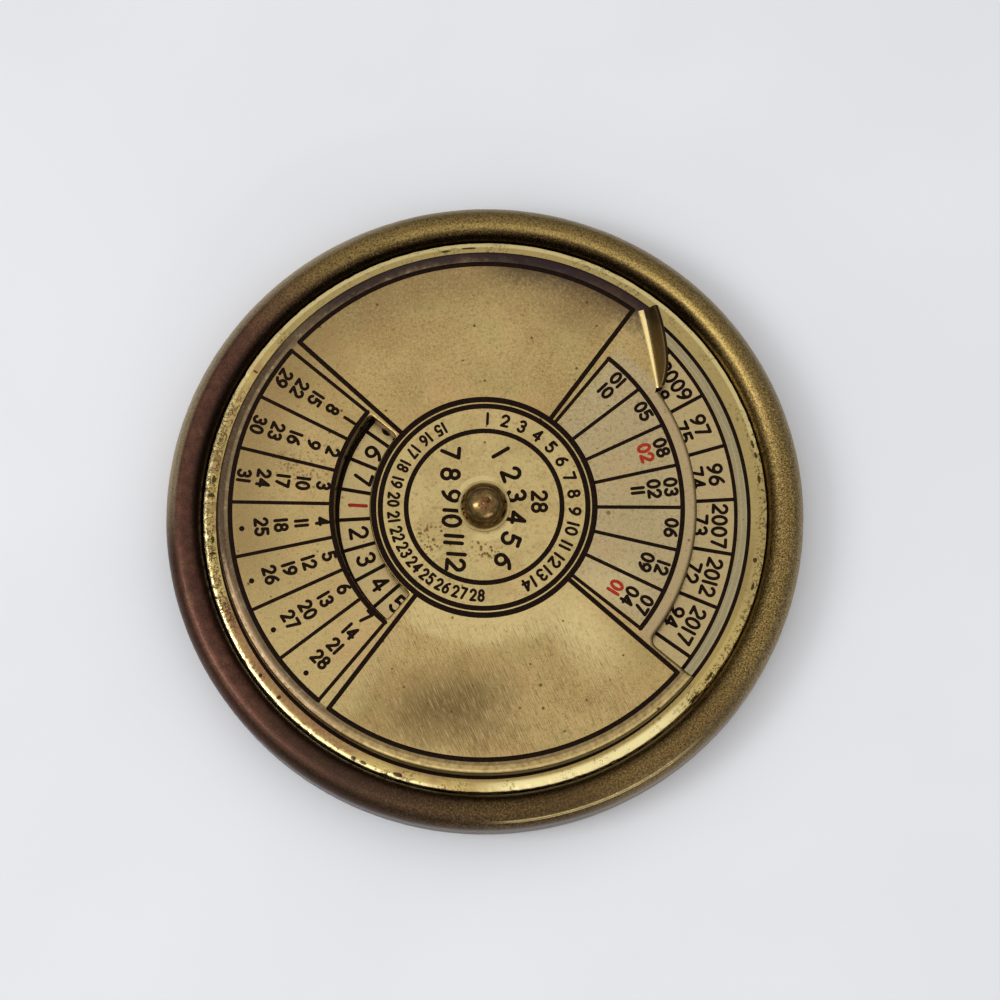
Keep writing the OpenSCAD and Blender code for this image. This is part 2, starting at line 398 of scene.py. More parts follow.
def lightScene():
    s = lightSet
    scene = bpy.context.scene
    scene.view_settings.view_transform = "Standard"
    scene.world = bpy.data.worlds.new("softRoom")
    scene.world.use_nodes = True
    tree = scene.world.node_tree
    tree.nodes.clear()
    coords = result(addNode(tree, "ShaderNodeTexCoord"), "Generated")
    up = result(addNode(tree, "ShaderNodeSeparateXYZ", coords), "Z")
    toward = vectorCalc(tree, "DOT_PRODUCT", coords, Vector(s["glowFrom"]).normalized(), output="Value")
    glow = toward.ramp(*s["glowReach"], 0.0, s["glow"])
    high = up.ramp(*s["rise"], s["lowLevel"], s["highLevel"])
    level = (glow + high) * up.ramp(*s["horizonRise"], s["horizon"], 1.0)
    back = addNode(tree, "ShaderNodeBackground", s["sky"], level)
    addNode(tree, "ShaderNodeOutputWorld", back.outputs[0])
    for lamp in s["lamps"]:
        areaLamp(*lamp)


floorSet = dict(half=4000, colour=(236, 237, 240), cloud=0.03, cloudSize=60.0, rough=0.6, specular=0.25)


def layFloor():
    s = floorSet
    bm = bmesh.new()
    h = s["half"]
    bm.faces.new(addLoop(bm, [(-h, -h, 0), (h, -h, 0), (h, h, 0), (-h, h, 0)]))
    obj = finishMesh("paleFloor", bm)
    coat = coating("paleTable")
    base = srgb(*s["colour"])
    coat.base(coat.mottle(s["cloudSize"], 0.35, 0.65), tuple(c * (1 - s["cloud"]) for c in base), base)
    finish = coat.close({"Metallic": 0, "Roughness": s["rough"], "Specular IOR Level": s["specular"]})
    obj.data.materials.append(finish)


# finishes: tones are 0 to 255, angles in degrees from +X, lengths in millimetres
castFinish = dict(
    # tones; the bead's streak, worn line, faint lines and pale outer slope stand for painted light, the cove
    # tone for painted shade
    gold=(146, 121, 70), olive=(90, 74, 43), greyGreen=(162, 146, 112), streakHighlight=(196, 168, 98),
    wornHighlightLine=(232, 204, 140), redBrown=(94, 58, 45), plum=(72, 44, 35), darkBrown=(56, 40, 26),
    litOuterSlope=(196, 176, 138), sparkle=(198, 166, 104), umber=(84, 62, 38), brownSparkle=(132, 96, 80),
    cove=(38, 26, 16), faintHighlightLine=(138, 104, 92),
    # noises: scale, detail, roughness
    ragged=(0.3, 5.0, 0.65), fine=(3.6, 5.0, 0.7), tiny=(8.0, 2.0, 0.6), blotch=(0.9, 5.0, 0.7),
    sand=(5.2, 4.0, 0.7),
    # sectors: middle angle, half width, soft edge
    streakCore=(36, 9, 24), streakReach=(64, 40, 10), leftSide=(196, 46, 38), lowerSide=(260, 22, 22),
    rightSide=(-8, 40, 16), coveSide=(112, 62, 28), ridgeSide=(212, 17, 9), duskSide=(229, 7, 8),
    rubbedSide=(146, 26, 18), wornSide=(292, 13, 10), sandRight=(-20, 38, 24), sandTop=(80, 70, 20),
    sandLeft=(215, 70, 20), umberSide=(302, 16, 14),
    # rings: from, to, soft edge
    streakRing=(36.95, 37.35, 0.35), duskRing=(37.9, 38.6, 0.4), wornRing=(39.1, 39.28, 0.1),
    highlightRing=(38.38, 38.44, 0.07), outerHighlightRing=(38.85, 38.9, 0.06),
    # gloss and grain
    metallic=1.0, metallicAtLeft=0.85, rough=(0.3, 0.44), wornRough=0.2, grainDepth=0.03,
)


def makeCastBrass():
    s = castFinish
    coat = coating("castPatina", s)
    radius = coat.radius
    ragged, fine, tiny = coat.noise("ragged"), coat.noise("fine"), coat.noise("tiny")
    coat.base(fine.ramp(0.38, 0.6), "olive", "gold")
    # grey-green toward the outer slope: partly patina, partly a painted reflection of the pale floor
    coat.paint("greyGreen", radius.ramp(38.3, 39.3, 0.0, 0.6))
    # painted highlight along the bead's inner slope at the upper right, where it faces the window, partly
    # brighter worn metal
    reach = highest(coat.sector("streakCore"), coat.sector("streakReach") * 0.45)
    coat.paint("streakHighlight", coat.ring("streakRing") * reach * fine.ramp(0.38, 0.6, 0.35, 1.0) * 0.8)
    left = coat.sector("leftSide") * ragged.ramp(0.25, 0.45, 0.75, 1.0)
    coat.paint(coat.blend(coat.noise("blotch").ramp(0.38, 0.64), "plum", "redBrown"), left)
    coat.paint("darkBrown", coat.sector("lowerSide") * fine.ramp(0.4, 0.62, 0.95, 0.55))

    # painted shade in the cove inside the bead, painted highlight lines on it, painted shade over the outer
    # slope at the left and a painted lit outer slope at the upper left
    right = 1.0 - coat.sector("rightSide")
    # painted shade: the cove is darkened except at the right, and more widely at the top and left
    cove = highest(radius.ramp(36.3, 35.8) * right, radius.ramp(36.95, 36.35) * coat.sector("coveSide"))
    coat.paint("cove", cove * 0.85)
    # painted highlight: two faint light lines on the bead's outer slope at the lower left, where it faces the
    # window
    wavy = radius + (ragged - 0.5) * 0.5
    highlightLines = highest(wavy.band(*s["highlightRing"]), wavy.band(*s["outerHighlightRing"]) * 0.6)
    coat.paint("faintHighlightLine", highlightLines * coat.sector("ridgeSide") * 0.22)
    # painted shade: darker over the outer slope at the left
    coat.paint("darkBrown", left * radius.ramp(38.1, 38.8) * 0.35)
    coat.paint("plum", coat.ring("duskRing") * coat.sector("duskSide") * 0.5)
    # painted light: the outer slope at the upper left is painted pale where it reflects the bright room
    litOuterSlope = coat.sector("rubbedSide") * radius.ramp(38.45, 39.0) * fine.ramp(0.3, 0.6, 0.6, 1.0)
    coat.paint("litOuterSlope", litOuterSlope * 0.8)
    # a narrow worn line low on the bead at the lower right: smoother metal, painted with a highlight
    worn = coat.ring("wornRing") * coat.sector("wornSide")
    coat.paint("darkBrown", tiny.ramp(0.3, 0.6, 0.45, 0.0) * (1.0 - worn))

    # sandy skin: bright and dark grains, coarsest at the right; the bright grains are painted glints
    sand = coat.noise("sand")
    sandy = highest(coat.sector("sandRight"), coat.sector("sandTop") * 0.5, coat.sector("sandLeft") * 0.3)
    sandy = sandy * (1.0 - worn)
    coat.paint(coat.blend(left, "sparkle", "brownSparkle"), sandy * sand.ramp(0.5, 0.64, 0.0, 0.6))
    coat.paint("darkBrown", sandy * sand.ramp(0.5, 0.38, 0.0, 0.75))
    coat.paint("umber", coat.sector("umberSide") * 0.4)
    # painted highlight along the worn line
    coat.paint("wornHighlightLine", worn * 0.9)
    grain = (fine + tiny * 0.4) * highest(worn, left * 0.6).between(1.0, 0.25)
    return coat.close({
        "Metallic": left.between(s["metallic"], s["metallicAtLeft"]),
        "Roughness": worn.between(fine.ramp(0.3, 0.7, *s["rough"]), s["wornRough"]),
        "Normal": coat.bump(grain, s["grainDepth"]),
    })


sheetFinish = dict(
    # tones; the pink edge and ear fillet tones stand for painted highlights, the wall, foot and ear plate tones
    # for painted shade
    light=(184, 157, 100), dark=(166, 138, 84), hub=(196, 173, 116), months=(174, 158, 122),
    dates=(186, 163, 112), border=(114, 97, 74), rightBorder=(171, 147, 95), brownEdge=(66, 50, 40),
    pinkEdgeHighlight=(208, 172, 142), rosy=(196, 150, 104), greenish=(156, 150, 92), haze=(150, 122, 76),
    purple=(50, 38, 40), brown=(112, 86, 54), tint=(130, 106, 66), patch=(96, 80, 46), dull=(130, 106, 68),
    bright=(220, 198, 140), pale=(214, 194, 146), lip=(170, 147, 108), wall=(50, 38, 28), foot=(34, 24, 17),
    filletHighlight=(240, 214, 146), earPlateShade=(124, 104, 60), pit=(96, 68, 28),
    # noises: scale, detail, roughness
    fine=(2.2, 6.0, 0.7), tiny=(6.0, 3.0, 0.6), spots=(1.1, 5.0, 0.72), ragged=(0.5, 6.0, 0.72),
    crumbs=(1.6, 5.0, 0.75), grit=(3.2, 4.0, 0.7),
    # clouds: size, low, high, detail
    cloud=(7.0, 0.3, 0.7, 6.0), rosyCloud=(8.5, 0.5, 0.66, 5.0), greenishCloud=(6.5, 0.52, 0.66, 5.0),
    smearCloud=(3.4, 0.46, 0.6, 4.0),
    # sectors: middle angle, half width, soft edge
    monthsSide=(6, 42, 4), datesSide=(195, 42, 5), upperHaloSide=(112, 34, 16), lowerHaloSide=(290, 30, 14),
    dullSide=(128, 60, 22), nearHubSide=(273, 34, 8), rightBorderSide=(288, 32, 34),
    turnDownSide=(168, 24, 10), pinkSide=(214, 16, 10), dimSide=(262, 72, 10), edgeLightSide=(284, 34, 10),
    lipSide=(-2, 37, 3), smokedSide=(88, 34, 26), hazeSide=(64, 17, 14), lowerSide=(272, 34, 10),
    gritSide=(82, 44, 10),
    # rings: from, to, soft edge
    upperHaloRing=(3.3, 3.85, 0.18), lowerHaloRing=(3.7, 4.3, 0.25), nearHubRing=(14.3, 17.0, 1.8),
    turnDownRing=(32.5, 33.6, 0.25), pinkRing=(32.98, 33.12, 0.12), dimRing=(31.8, 32.3, 0.2),
    edgeLightRing=(33.0, 33.6, 0.12), lipRing=(25.1, 26.8, 0.25), lowerRing=(15.5, 31.0, 0.6),
    gritRing=(15.0, 31.0, 0.6),
    # stains and painted reflections: radius, angle, reach, turn, raggedness, grain, soft edge
    hubStain=(0.01, 0, (7.0, 6.4), 0, 0.5, 3.0, 0.9), brightStain=(19.0, 308, (10.5, 6.0), 52, 0.3, 5.0, 1.0),
    brightByHub=(15.5, 246, (4.0, 2.6), 0, 0.4, 3.0, 1.0),
    brightByMonths=(18.5, 328, (6.0, 4.5), 0, 0.4, 3.0, 1.0), smudge=(28.5, 64, (7.5, 5.0), 0, 0.6, 2.5, 0.9),
    tintStain=(25.5, 259, (15.0, 8.0), -8, 0.4, 5.0, 1.0),
    patchStain=(25.2, 263, (10.5, 5.2), -16, 0.6, 4.5, 1.0),
    patchTail=(28.8, 271, (8.5, 3.4), -6, 0.5, 3.0, 1.0), crowdLeft=(8.0, 212, (2.4, 3.6), 0, 1.0, 1.2, 0.8),
    crowdBelow=(5.6, 270, (3.4, 1.6), 0, 1.0, 1.2, 0.8), crowdDates=(23, 168, (7.0, 6.0), 0, 1.0, 1.6, 0.9),
    monthsDot=(15.5, -3.0, (0.34, 0.34), 0, 0.12, 0.3, 0.4),
    # scratches: direction, pitch, length, share
    brushing=(66, 0.12, 16.0), steepLines=(64, 0.2, 5.0, 0.13), flatLines=(-8, 0.24, 7.0, 0.1),
    longLines=(7, 0.3, 30.0, 0.08),
    # specks: spacing, share of the cells, width
    fewSpecks=(1.4, 0.28, 0.16), dustSpecks=(0.5, 0.3, 0.2), manySpecks=(0.42, 0.7, 0.6),
    # how far below the ear's upper face a place lies, for painted shade along its free edge: the direction, and
    # where its edge starts and ends
    earBelow=(0.8292, 0.1258, -0.5446), earEdge=(15.189, 15.329),
    # gloss, grain and pits
    rough=(0.26, 0.42), grainDepth=0.006, pitDepth=0.015,
)


def makeDialSheet():
    s = sheetFinish
    coat = coating("satinDial", s)
    radius, height = coat.radius, coat.height
    cloud, fine, tiny = coat.mottle("cloud"), coat.noise("fine"), coat.noise("tiny")
    coat.base(cloud, "dark", "light")
    months = coat.sector("monthsSide") * radius.ramp(13.2, 14.2) * radius.ramp(27, 26)
    coat.paint("months", months * 0.7)
    dates = coat.sector("datesSide") * radius.ramp(18, 19) * fine.ramp(0.3, 0.6)
    coat.paint("dates", dates * 0.6)
    coat.paint("hub", radius.ramp(14.0, 12.0) * 0.85)
    coat.paint("brown", fine.ramp(0.47, 0.72, 0.0, 0.62))
    coat.paint("pale", tiny.ramp(0.3, 0.55, 0.4, 0.0))

    # faint clouds of pinker and greener brass, haze and pale halos round the knob
    coat.paint("rosy", coat.mottle("rosyCloud") * 0.2)
    coat.paint("greenish", coat.mottle("greenishCloud", place=coat.stretched((1.1, 0.9, 1.3))) * 0.22)
    coat.paint("haze", coat.stain("hubStain") * fine.ramp(0.35, 0.6, 0.5, 1.0) * 0.3)
    hub = radius.ramp(12.6, 12.0)
    coat.paint("haze", hub * coat.mottle("smearCloud") * 0.26)
    halo = highest(coat.ring("upperHaloRing") * coat.sector("upperHaloSide"),
                   coat.ring("lowerHaloRing") * coat.sector("lowerHaloSide"))
    coat.paint("bright", halo * 0.5)

    # duller toward the rim at the upper left; a painted reflection brightens the sheet beside the hub at the
    # lower right
    coat.paint("dull", radius.ramp(22.5, 31.0, 0.0, 0.62) * coat.sector("dullSide"))
    nearHub = (radius + cloud * 0.8).band(*s["nearHubRing"]) * coat.sector("nearHubSide")
    # painted reflection: bright patches beside the hub and the months
    bright = highest(coat.stain("brightStain"), coat.stain("brightByHub") * 0.8, nearHub * 0.75,
                     coat.stain("brightByMonths") * 0.5)
    coat.paint("bright", bright * fine.ramp(0.3, 0.6, 0.85, 0.6))

    # strip outside the border line, and the sheet's edge with its painted highlights
    strip = radius.ramp(31.6, 31.9)
    tone = coat.blend(coat.sector("rightBorderSide"), "border", "rightBorder")
    coat.paint(tone, strip * fine.ramp(0.3, 0.6, 0.95, 0.75))
    spots = coat.noise("spots")
    coat.paint("brown", strip * spots.ramp(0.46, 0.62, 0.0, 0.45))
    coat.paint("pale", strip * spots.ramp(0.46, 0.34, 0.0, 0.3))
    coat.paint("brownEdge", coat.ring("turnDownRing") * coat.sector("turnDownSide") * 0.8)
    # painted highlight: a thin pink line on the rolled edge at the lower left, where it faces the window
    coat.paint("pinkEdgeHighlight", (radius + spots * 0.5).band(*s["pinkRing"]) * coat.sector("pinkSide") * 0.5)
    coat.paint("brownEdge", coat.ring("dimRing") * coat.sector("dimSide") * 0.52)
    # painted light along the sheet's rolled edge at the lower right
    edgeLight = coat.ring("edgeLightRing") * coat.sector("edgeLightSide") * fine.ramp(0.3, 0.6, 1.0, 0.6)
    coat.paint("filletHighlight", edgeLight * 0.5)
    lip = coat.ring("lipRing") * coat.sector("lipSide")
    coat.paint("lip", lip * fine.ramp(0.3, 0.6, 0.9, 0.55))
    ragged = coat.noise("ragged")
    # darker and purple over the strip at the top, with a ragged inner edge
    darkTopStrip = (radius + ragged * 3.0).ramp(32.4, 34.2) * coat.sector("smokedSide")
    coat.paint("purple", darkTopStrip * 0.9)
    haze = (radius + coat.noise("crumbs") * 5.0).ramp(30.6, 34.2)
    haze = haze * coat.sector("hazeSide") * radius.ramp(26.5, 29.5)
    coat.paint("purple", haze * 0.7)
    coat.paint("brown", coat.stain("smudge") * 0.45)

    # brushed patch and fine steep scratches in the lower sector
    marks = coat.brushMarks("brushing")
    lower = coat.sector("lowerSide") * coat.ring("lowerRing")
    coat.paint("tint", coat.stain("tintStain") * lower * 0.9)
    patch = highest(coat.stain("patchStain"), coat.stain("patchTail") * 0.85)
    coat.paint("patch", patch * marks.ramp(0.32, 0.62, 0.15, 0.62))
    coat.paint("brown", marks.ramp(0.52, 0.66, 0.0, 0.6) * lower)
    coat.paint("pale", marks.ramp(0.46, 0.32, 0.0, 0.36) * lower)

    # fine grit, strongest in the upper sector
    grit = coat.noise("grit")
    gritty = highest(coat.sector("gritSide") * coat.ring("gritRing"), 0.35) * (1.0 - highest(darkTopStrip, haze))
    coat.paint("brown", gritty * grit.ramp(0.52, 0.7, 0.0, 0.34))
    coat.paint("pale", gritty * grit.ramp(0.5, 0.34, 0.0, 0.24))

    # scratches and pits
    lines = highest(coat.scratches("steepLines"), coat.scratches("flatLines"), coat.scratches("longLines"))
    coat.paint("brown", lines * 0.45)
    dust = coat.specks("dustSpecks") * hub.between(0.55, 0.25)
    crowd = highest(coat.stain("crowdLeft"), coat.stain("crowdBelow"), coat.stain("crowdDates") * 0.6)
    pits = highest(coat.specks("fewSpecks"), dust, coat.specks("manySpecks") * crowd,
                   coat.stain("monthsDot") * 0.8)
    coat.paint("pit", pits * 0.9)

    # painted shade on the turned-down walls and at their foot, a painted highlight on the thumb ear's fillet,
    # painted shade on its leaning plate and along its free edge
    # painted shade: the walls darken below the face, darkest at their foot by the year dial
    coat.paint("wall", height.ramp(8.8, 8.55, 0.0, 0.9))
    coat.paint("foot", height.ramp(7.1, 6.6, 0.0, 0.85))
    # painted highlight along the ear's bend
    coat.paint("filletHighlight", height.band(9.03, 9.2, 0.03) * 0.75)
    # painted shade on the ear's leaning plate
    coat.paint("earPlateShade", height.ramp(9.3, 9.6, 0.0, 0.75))
    coat.paint("brown", height.ramp(10.0, 10.9, 0.0, 0.5))
    coat.paint("wall", (radius + ragged * 1.5).ramp(32.0, 33.0) * height.ramp(9.05, 9.25) * 0.45)
    # painted shade along the ear's free edge
    below = vectorCalc(coat.tree, "DOT_PRODUCT", coat.place, s["earBelow"], output="Value")
    coat.paint("foot", below.ramp(*s["earEdge"]) * height.ramp(9.2, 9.35) * 0.8)
    holes = (pits + lines * 0.3) * -1.0
    return coat.close({
        "Metallic": 1.0,
        "Roughness": fine.ramp(0.2, 0.8, *s["rough"]),
        "Normal": coat.bump(holes, s["pitDepth"], coat.bump(fine + marks * 0.8, s["grainDepth"])),
    })


plateFinish = dict(
    # tones; the bright margin tone stands for painted highlights
    light=(178, 154, 104), dark=(156, 134, 90), dayFloor=(188, 165, 114), yearFloor=(186, 164, 118),
    strip=(152, 140, 106), stripLine=(168, 156, 124), margin=(196, 172, 104), dullMargin=(168, 148, 92),
    roseMargin=(134, 94, 66), highlightMargin=(248, 230, 168), redMargin=(156, 120, 84), brown=(98, 66, 36),
    crack=(36, 24, 12),
    # noises: scale, detail, roughness
    fine=(2.4, 6.0, 0.7), wander=(0.15, 2.0, 0.5), wavy=(0.9, 4.0, 0.7), bite=(1.1, 5.0, 0.7),
    nibble=(1.5, 4.0, 0.7),
    # clouds: size, low, high, detail
    cloud=(5.0, 0.35, 0.65, 5.0), patchy=(3.0, 0.42, 0.6, 5.0), few=(2.6, 0.49, 0.58),
    # specks: spacing, share of the cells, width
    dots=(0.9, 0.25, 0.16),
    # sectors: middle angle, half width, soft edge
    dullMarginSide=(60, 75, 15), innerDimSide=(300, 48, 10), redSide=(205, 55, 20), roseSide=(221, 17, 10),
    paleEdgeSide=(95, 75, 12), shineRight=(293, 15, 12), shineLeft=(215, 40, 10), fleckSide=(-14, 30, 8),
    crackSide=(180, 22, 8), wornSide=(175, 9, 6), nibbledSide=(218, 44, 8),
    # rings: from, to, soft edge
    yearFloorRing=(25.5, 31.5, 0.3), stripRing=(31.9, 33.2, 0.2), innerDimRing=(33.4, 33.95, 0.3),
    roseRing=(33.9, 35.1, 0.2), paleEdgeRing=(34.95, 35.4, 0.2), shineRing=(34.98, 35.3, 0.14),
    nibbledRing=(34.75, 35.5, 0.12),
    # chips in the margin: angle, radius, half length, half width
    chips=((-42.5, 35.1, 0.85, 0.18), (-36.8, 34.9, 0.8, 0.2), (7, 34.75, 0.6, 0.2), (12, 34.95, 0.5, 0.22),
           (14.5, 34.9, 0.7, 0.2), (93.5, 34.75, 1.1, 0.12), (98.5, 34.65, 0.7, 0.14),
           (242.8, 35.0, 0.4, 0.24), (245, 34.95, 0.5, 0.2), (252.4, 34.75, 0.7, 0.3), (-16, 34.8, 0.6, 0.2),
           (-10.5, 34.4, 0.4, 0.3), (217, 34.6, 0.3, 0.3), (223, 34.6, 0.25, 0.3), (148, 34.4, 0.13, 0.4),
           (173, 34.3, 0.6, 0.3), (176.5, 34.5, 0.25, 0.5), (186, 34.2, 0.5, 0.2), (189, 34.4, 0.2, 0.5)),
    # gloss, grain and chips
    rough=(0.18, 0.32), grainDepth=0.008, chipDepth=0.04,
)


def makeYearPlate():
    s = plateFinish
    coat = coating("satinYearDial", s)
    radius = coat.radius
    cloud, fine = coat.mottle("cloud"), coat.noise("fine")
    coat.base(cloud, "dark", "light")
    coat.paint("dayFloor", radius.ramp(19.2, 18.6) * 0.85)
    coat.paint("yearFloor", coat.ring("yearFloorRing") * 0.8)
    turning = ((radius + coat.noise("wander") * 0.7) * 9.5).calc("SINE")
    coat.paint(coat.blend(turning.ramp(0.5, 1.0), "strip", "stripLine"), coat.ring("stripRing") * 0.85)

    # bare margin, with its dull and red stretches, painted shade beside the month dial and painted highlights
    # along its rolled edge
    margin = radius.ramp(33.2, 33.5)
    coat.paint(coat.blend(coat.sector("dullMarginSide"), "margin", "dullMargin"), margin * 0.8)
    # painted shade on the margin beside the month dial's edge, at the lower right
    coat.paint("brown", coat.ring("innerDimRing") * coat.sector("innerDimSide") * 0.3)
    coat.paint("redMargin", margin * coat.mottle("patchy") * coat.sector("redSide") * 0.6)
    wavy = radius + coat.noise("wavy") * 0.9
    rose = coat.sector("roseSide") * wavy.band(*s["roseRing"]) * fine.ramp(0.3, 0.55, 0.6, 1.0)
    coat.paint("roseMargin", rose * 0.75)
    # painted highlight on the rolled edge round the top
    paleEdgeHighlight = coat.sector("paleEdgeSide") * coat.ring("paleEdgeRing") * fine.ramp(0.3, 0.6, 0.3, 1.0)
    coat.paint("highlightMargin", paleEdgeHighlight * 0.5)
    # painted highlights: broad over the margin at the lower right, thin along the rolled edge at the lower left
    shine = highest(coat.sector("shineRight") * radius.ramp(33.9, 34.4),
                    coat.sector("shineLeft") * coat.ring("shineRing"))
    shine = shine * fine.ramp(0.2, 0.45, 0.6, 1.0)
    coat.paint("highlightMargin", shine * 0.9)
    coat.paint("brown", fine.ramp(0.45, 0.75, 0.0, 0.3) * (1.0 - shine))

    # brown wear at the left, chips and a few cracks at the edge
    bite = coat.noise("bite")
    flecks = highest(coat.mottle("few") * 0.6, coat.sector("fleckSide") * radius.ramp(34.2, 34.7))
    flecks = flecks * fine.ramp(0.44, 0.53)
    cracks = abs(bite - 0.5).ramp(0.03, 0.008) * radius.ramp(33.7, 34.1)
    cracks = cracks * highest(coat.sector("crackSide") * 0.9, flecks)
    coat.paint("brown", coat.sector("wornSide") * bite.ramp(0.5, 0.6) * margin * 0.5)
    nibbled = coat.ring("nibbledRing") * coat.sector("nibbledSide") * coat.noise("nibble").ramp(0.53, 0.58)
    coat.paint("brown", nibbled * 0.7)
    chips = highest(*(coat.stain(r, angle, (half, wide), -(angle + 90), 0.5, 0.5, 0.35, z=yearPlate["topZ"])
                      for angle, r, half, wide in s["chips"]))
    coat.paint("crack", highest(cracks, chips) * 0.88)
    coat.paint("brown", coat.specks("dots") * 0.6)
    holes = cracks * -0.4 + chips * -1.0
    return coat.close({
        "Metallic": 1.0,
        "Roughness": fine.ramp(0.2, 0.8, *s["rough"]),
        "Normal": coat.bump(holes, s["chipDepth"], coat.bump(fine, s["grainDepth"])),
    })


knobFinish = dict(
    # the foot tone is painted shade low on the knob
    brass=(142, 116, 72), shade=(112, 90, 54), pit=(60, 34, 22), worn=(104, 60, 44), foot=(48, 34, 20),
    fine=(4.5, 5.0, 0.65), blotch=(0.8, 0.42, 0.6), redStain=(0.4, -49, (1.05, 1.05), 0, 0.6, 0.5, 0.5),
    pitSpacing=0.28, pitWidth=0.5, rough=(0.13, 0.24), grainDepth=0.004, pitDepth=0.03,
)


def makeKnobBrass(name, pitShare, redness):
    s = knobFinish
    coat = coating(name, s)
    fine = coat.noise("fine")
    coat.base(coat.mottle("blotch"), "shade", "brass")
    red = coat.stain("redStain") * redness
    coat.paint("worn", red * 0.65)
    # painted shade: darker toward the knob's foot, where it meets the dial
    coat.paint("foot", coat.height.ramp(10.75, 9.8, 0.0, 0.8))
    pits = coat.specks(s["pitSpacing"], pitShare, s["pitWidth"]) * red.between(0.4, 1.0)
    coat.paint("pit", pits * 0.8)
    return coat.close({
        "Metallic": 1.0,
        "Roughness": fine.ramp(0.2, 0.8, *s["rough"]),
        "Normal": coat.bump(pits * -1.0, s["pitDepth"], coat.bump(fine, s["grainDepth"])),
    })


# metals of the parts inside: colour, roughness and depth of the turning marks
plainMetals = dict(
    washerBrass=((180, 157, 104), 0.3, 0.004),
    turnedBrass=((202, 176, 120), 0.32, 0.006),
    springSteel=((172, 172, 174), 0.28, 0.004),
)


def makePlainMetal(name):
    colour, rough, grain = plainMetals[name]
    coat = coating(name)
    base = srgb(*colour)
    coat.base(coat.noise(1.2, 3.0, 0.6).ramp(0.3, 0.7), tuple(c * 0.78 for c in base), base)
    marks = coat.noise(1.5, 3.0, 0.6, place=coat.stretched((0.6, 0.6, 9.0)))
    turning = (coat.radius * 40.0).calc("SINE")
    return coat.close({
        "Metallic": 1.0,
        "Roughness": marks.ramp(0.2, 0.8, rough - 0.06, rough + 0.08),
        "Normal": coat.bump(turning * 0.3 + marks, grain),
    })


enamelFinish = dict(
    blackEnamel=dict(colour=(34, 19, 11), dark=(18, 9, 4)),
    redEnamel=dict(colour=(180, 54, 36), dark=(142, 38, 26)),
    fine=(2.0, 4.0, 0.7), rough=(0.3, 0.5), specular=0.04, grainDepth=0.01,
)


def makeEnamel(name):
    s = enamelFinish
    coat = coating(name, s[name])
    fine = coat.noise(*s["fine"])
    coat.base(fine.ramp(0.3, 0.7), "dark", "colour")
    return coat.close({
        "Metallic": 0,
        "Roughness": fine.ramp(0.2, 0.8, *s["rough"]),
        "Specular IOR Level": s["specular"],
        "Normal": coat.bump(fine, s["grainDepth"]),
    })


feltFinish = dict(
    dark=(28, 50, 38), green=(40, 66, 50), tip=(62, 88, 70), fibre=(5.0, 6.0, 0.75, 0.6),
    cloud=(4.0, 0.35, 0.65), rough=0.95, sheen=0.6, sheenRough=0.5, fibreDepth=0.12,
)


def makeFelt():
    s = feltFinish
    coat = coating("greenFelt", s)
    fibre = coat.noise("fibre")
    coat.base(coat.mottle("cloud"), "dark", "green")
    coat.paint("tip", fibre.ramp(0.35, 0.7, 0.0, 0.5))
    return coat.close({
        "Metallic": 0,
        "Roughness": s["rough"],
        "Sheen Weight": s["sheen"],
        "Sheen Roughness": s["sheenRough"],
        "Normal": coat.bump(fibre, s["fibreDepth"]),
    })


# cast base with its bead rim, sunk floor and felt recess
castBase = dict(
    columns=720, outerR=40.0, bottomZ=0.9, edgeR=1.0, beadR=2.2, beadZ=5.9,
    wallRows=(5.2, 4.4, 3.6, 2.8, 2.2), recess=((34.9, 5.35), (35.45, 5.35), (35.6, 5.5), (35.6, 5.7)),
    floorZ=5.35, feltR=37.6, feltZ=1.2, lip=0.05, pocketR=4.9, pocketZ=2.9, boreR=1.62, boreColumns=64,
    pinR=1.02, pinPlace=22.575, pinZ=3.75, pinColumns=24, unevenness=0.035, lumps=(2.2, 0.8, 2.6),
    sharpAngle=45,
)


def pinRings(bm, z):
    s = castBase
    return [circleRing(bm, s["pinR"], z, s["pinColumns"], middle=(0, side * s["pinPlace"])) for side in (-1, 1)]


def buildBase():
    s = castBase
    bm = bmesh.new()

    def shift(r, z, a):
        if z < s["bottomZ"] + 0.5 or r < s["recess"][-1][0] + 0.05:
            return 0, 0
        x, y = s["outerR"] * math.cos(a), s["outerR"] * math.sin(a)
        wide, small, tall = s["lumps"]
        lump = wave(x, y, z, wide) + 0.6 * wave(x, y, z + 40, small)
        return -abs(lump) * s["unevenness"], -abs(wave(x, y, z + 90, tall)) * s["unevenness"]

    profile = [*s["recess"], *arc(s["outerR"] - s["beadR"], s["beadZ"], s["beadR"], 180, 0, 26)]
    profile += [(s["outerR"], z) for z in s["wallRows"]]
    profile += arc(s["outerR"] - s["edgeR"], s["bottomZ"] + s["edgeR"], s["edgeR"], 0, -90, 6)
    feltR, bottomZ = s["feltR"], s["bottomZ"]
    profile += [(feltR + s["lip"], bottomZ), (feltR, bottomZ + s["lip"]), (feltR, s["feltZ"])]
    rings = turnedRings(bm, profile, s["columns"], shift)
    pocketR, boreR, pocketZ = s["pocketR"], s["boreR"], s["pocketZ"]
    bore = [(pocketR, s["feltZ"]), (pocketR, pocketZ), (boreR, pocketZ), (boreR, s["floorZ"])]
    bore = turnedRings(bm, bore, s["boreColumns"])
    tops, ends = pinRings(bm, s["floorZ"]), pinRings(bm, s["pinZ"])
    for top, end in zip(tops, ends):
        bridge(bm, (top, end))
        bm.faces.new(end)
    fillFlat(bm, [rings[0], bore[-1], *tops])
    fillFlat(bm, [rings[-1], bore[0]])
    obj = finishMesh("castBase", bm, s["sharpAngle"])
    dress(obj, castBrass, "base_assembly", "patinated_brass", "base")


